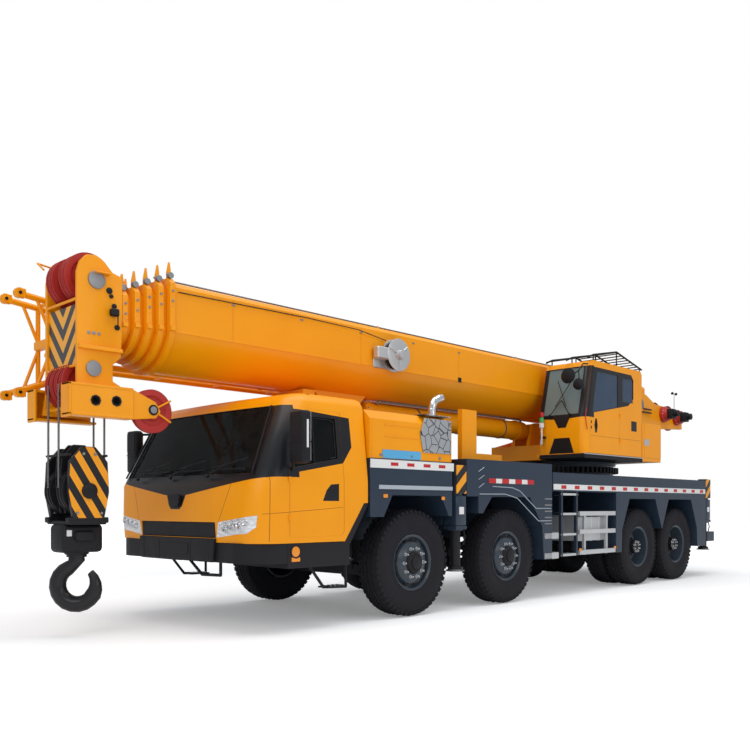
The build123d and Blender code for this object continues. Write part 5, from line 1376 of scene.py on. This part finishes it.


# the operator's screen glass shows a pale grey-green tone over most of its face: a painted reflection of the
# bright surroundings; the mottle in it is dust
pale_reflection_glass = pane("pale_reflection_glass", (0.62, 0.68, 0.66), tone=(0.2, 0.27, 0.27), body=0.62)
blue_glass = pane("blue_glass", (0.5, 0.6, 0.7), tone=(0.035, 0.075, 0.14), body=0.55)
OP_DOOR = [(-2.25, 2.13), (-1.36, 2.13), (-1.36, 2.62), (-1.5, 3.35), (-2.25, 3.35)]
OP_WINDOW = [(-2.19, 2.8), (-1.43, 2.66), (-1.56, 3.29), (-2.19, 3.29)]
operator_skin = carved(operator_form(0), operator_form(0.045))
end_cuts = [(rectangle(0.67, 1.27, 2.64, 3.35), -1.7, -1.05), (rectangle(0.73, 1.26, 2.75, 3.1), -3.05,
                                                               -2.85)]
side_cuts = [(rectangle(-2.7, -1.75, 2.7, 3.23), 0.5, 0.7), (rectangle(-2.68, -2.34, 2.9, 3.27), 1.3, 1.5)]
house = carved(operator_skin.copy(), along_x(*end_cuts))
house = carved(house, along_y(*side_cuts))
house = carved(house, along_y((OP_DOOR, 1.2, 1.5)))
set_up("operator_cab_shell", house, "upper_works", "orange_paint", operator_paint, hides=["operator_cab"])
film = carved(operator_form(0.01), operator_form(0.017))
panes = carved(film.copy(), along_x(*end_cuts), "INTERSECT")
set_up("operator_screen_and_rear_pane", panes, "upper_works", "glass", pale_reflection_glass, hides=["operator_glass"])
panes = carved(film.copy(), along_y(*side_cuts), "INTERSECT")
set_up("operator_side_panes", panes, "upper_works", "glass", blue_glass)
leaf = [(x + (0.004 if x < -2 else -0.004), z) for x, z in OP_DOOR]
leaf = carved(operator_skin, along_y((leaf, 1.2, 1.5)), "INTERSECT")
leaf = carved(leaf, along_y((OP_WINDOW, 1.2, 1.5)))
for z in (2.26, 2.64):
    rod(leaf, (-2.2465, 1.391, z), (-2.2465, 1.391, z + 0.06), 0.011, 0, 12)
pipe(leaf, [(-1.53, 1.379, 2.56), (-1.53, 1.39, 2.5), (-1.53, 1.379, 2.42)], 0.008, 1)
set_up("operator_door_skin", leaf, "operator_door", "orange_paint", operator_paint, black_paint,
       hides=["operator_door"])
panes = carved(film, along_y((OP_WINDOW, 1.2, 1.5)), "INTERSECT")
set_up("operator_door_pane", panes, "operator_door", "glass", blue_glass)

bits = bmesh.new()
# barred guard over the roof: three bent bars on short posts, with thin bars across
bow = [(-1.34, 3.47), (-1.5, 3.53), (-2.2, 3.66), (-3.02, 3.48)]
for y in (0.64, 0.99, 1.35):
    pipe(bits, [(x, y, z) for x, z in bow], 0.014)
    for x, z in ((-1.5, 3.53), (-2.2, 3.66), (-2.95, 3.49)):
        rod(bits, (x, y, 3.43), (x, y, z), 0.01)
for step in range(17):
    x = -1.36 - step * 0.102
    z = 3.49 + (-1.4 - x) * 0.2 if x > -2.2 else 3.66 - (-2.2 - x) * 0.22
    rod(bits, (x, 0.63, z + 0.004), (x, 1.36, z + 0.004), 0.009, 0, 6)
# two wipers at the foot of the screen
for y, reach in ((0.8, 0.42), (1.14, -0.36)):
    rod(bits, (-1.19, y, 2.63), (-1.17, y, 2.63), 0.02, 0, 12)
    rod(bits, (-1.178, y, 2.63), (-1.215, y + reach * 0.45, 2.86), 0.007)
    rod(bits, (-1.195, y + reach * 0.2, 2.76), (-1.3, y + reach * 0.75, 3.16), 0.006)
# two round mirrors on a bent arm at the front corner
pipe(bits, [(-1.37, 1.33, 3.38), (-1.2, 1.36, 3.36), (-1.1, 1.34, 3.25), (-1.09, 1.24, 3.19)], 0.01)
pipe(bits, [(-1.1, 1.34, 3.25), (-1.1, 1.35, 3.1)], 0.008)
for y, z, r in ((1.17, 3.19, 0.115), (1.34, 3.05, 0.085)):
    lathe(bits, [(-0.012, 0), (-0.012, r), (0.004, r), (0.022, r * 0.6), (0.03, 0)], (-1.09, y, z), (1, 0, 0),
          28)
    lathe(bits, [(-0.014, r * 0.93), (-0.018, r * 0.5), (-0.019, 0)], (-1.09, y, z), (1, 0, 0), 28, 1)
# stack of red, green and white signal lamps on a post
rod(bits, (-1.13, 0.69, 2.2), (-1.13, 0.69, 2.46), 0.022, 1, 16)
for z, paint in ((2.46, 4), (2.54, 3), (2.62, 2)):
    lathe(bits, [(0, 0), (0, 0.036), (0.07, 0.036), (0.075, 0)], (-1.13, 0.69, z), (0, 0, 1), 20, paint)
slab(bits, (-1.22, 0.66, 2.3), (-1.12, 0.72, 2.33), 0, 0.003)
for z in (2.22, 2.3):
    slab(bits, (-1.4, 1.378, z + 0.2), (-1.38, 1.386, z + 0.24), 0, 0.002)
pipe(bits, [(-1.3, 1.36, 2.75), (-1.24, 1.37, 2.6), (-1.25, 1.385, 2.45), (-1.27, 1.385, 2.4)], 0.006, 2, 6)
green_lens = painted("green_lens", (0.05, 0.42, 0.1), (0.3, 0.4, 0.3), roughness=0.15, dust=0.02, gloss=0.6)
set_up("operator_guard_mirrors_and_lamps", bits, "upper_works", "black_plastic", black_paint, chrome_plate,
       warning_red, green_lens, white_paint)
finish_nodes(trim_plastic, "operator_seat")

# ---------------------------------------------------------------- seats
# Foam pads on sprung frames in woven cloth: two in the driver's cab and one in the operator's.
cushion("driver_seat_left", (3.62, 0.42, 1.25), (4.1, 0.86, 1.4), "carrier")
cushion("driver_seat_right", (3.62, -0.86, 1.25), (4.1, -0.42, 1.4), "carrier")
cushion("operator_seat_pad", (-2.55, 0.79, 2.44), (-2.06, 1.2, 2.585), "upper_works")
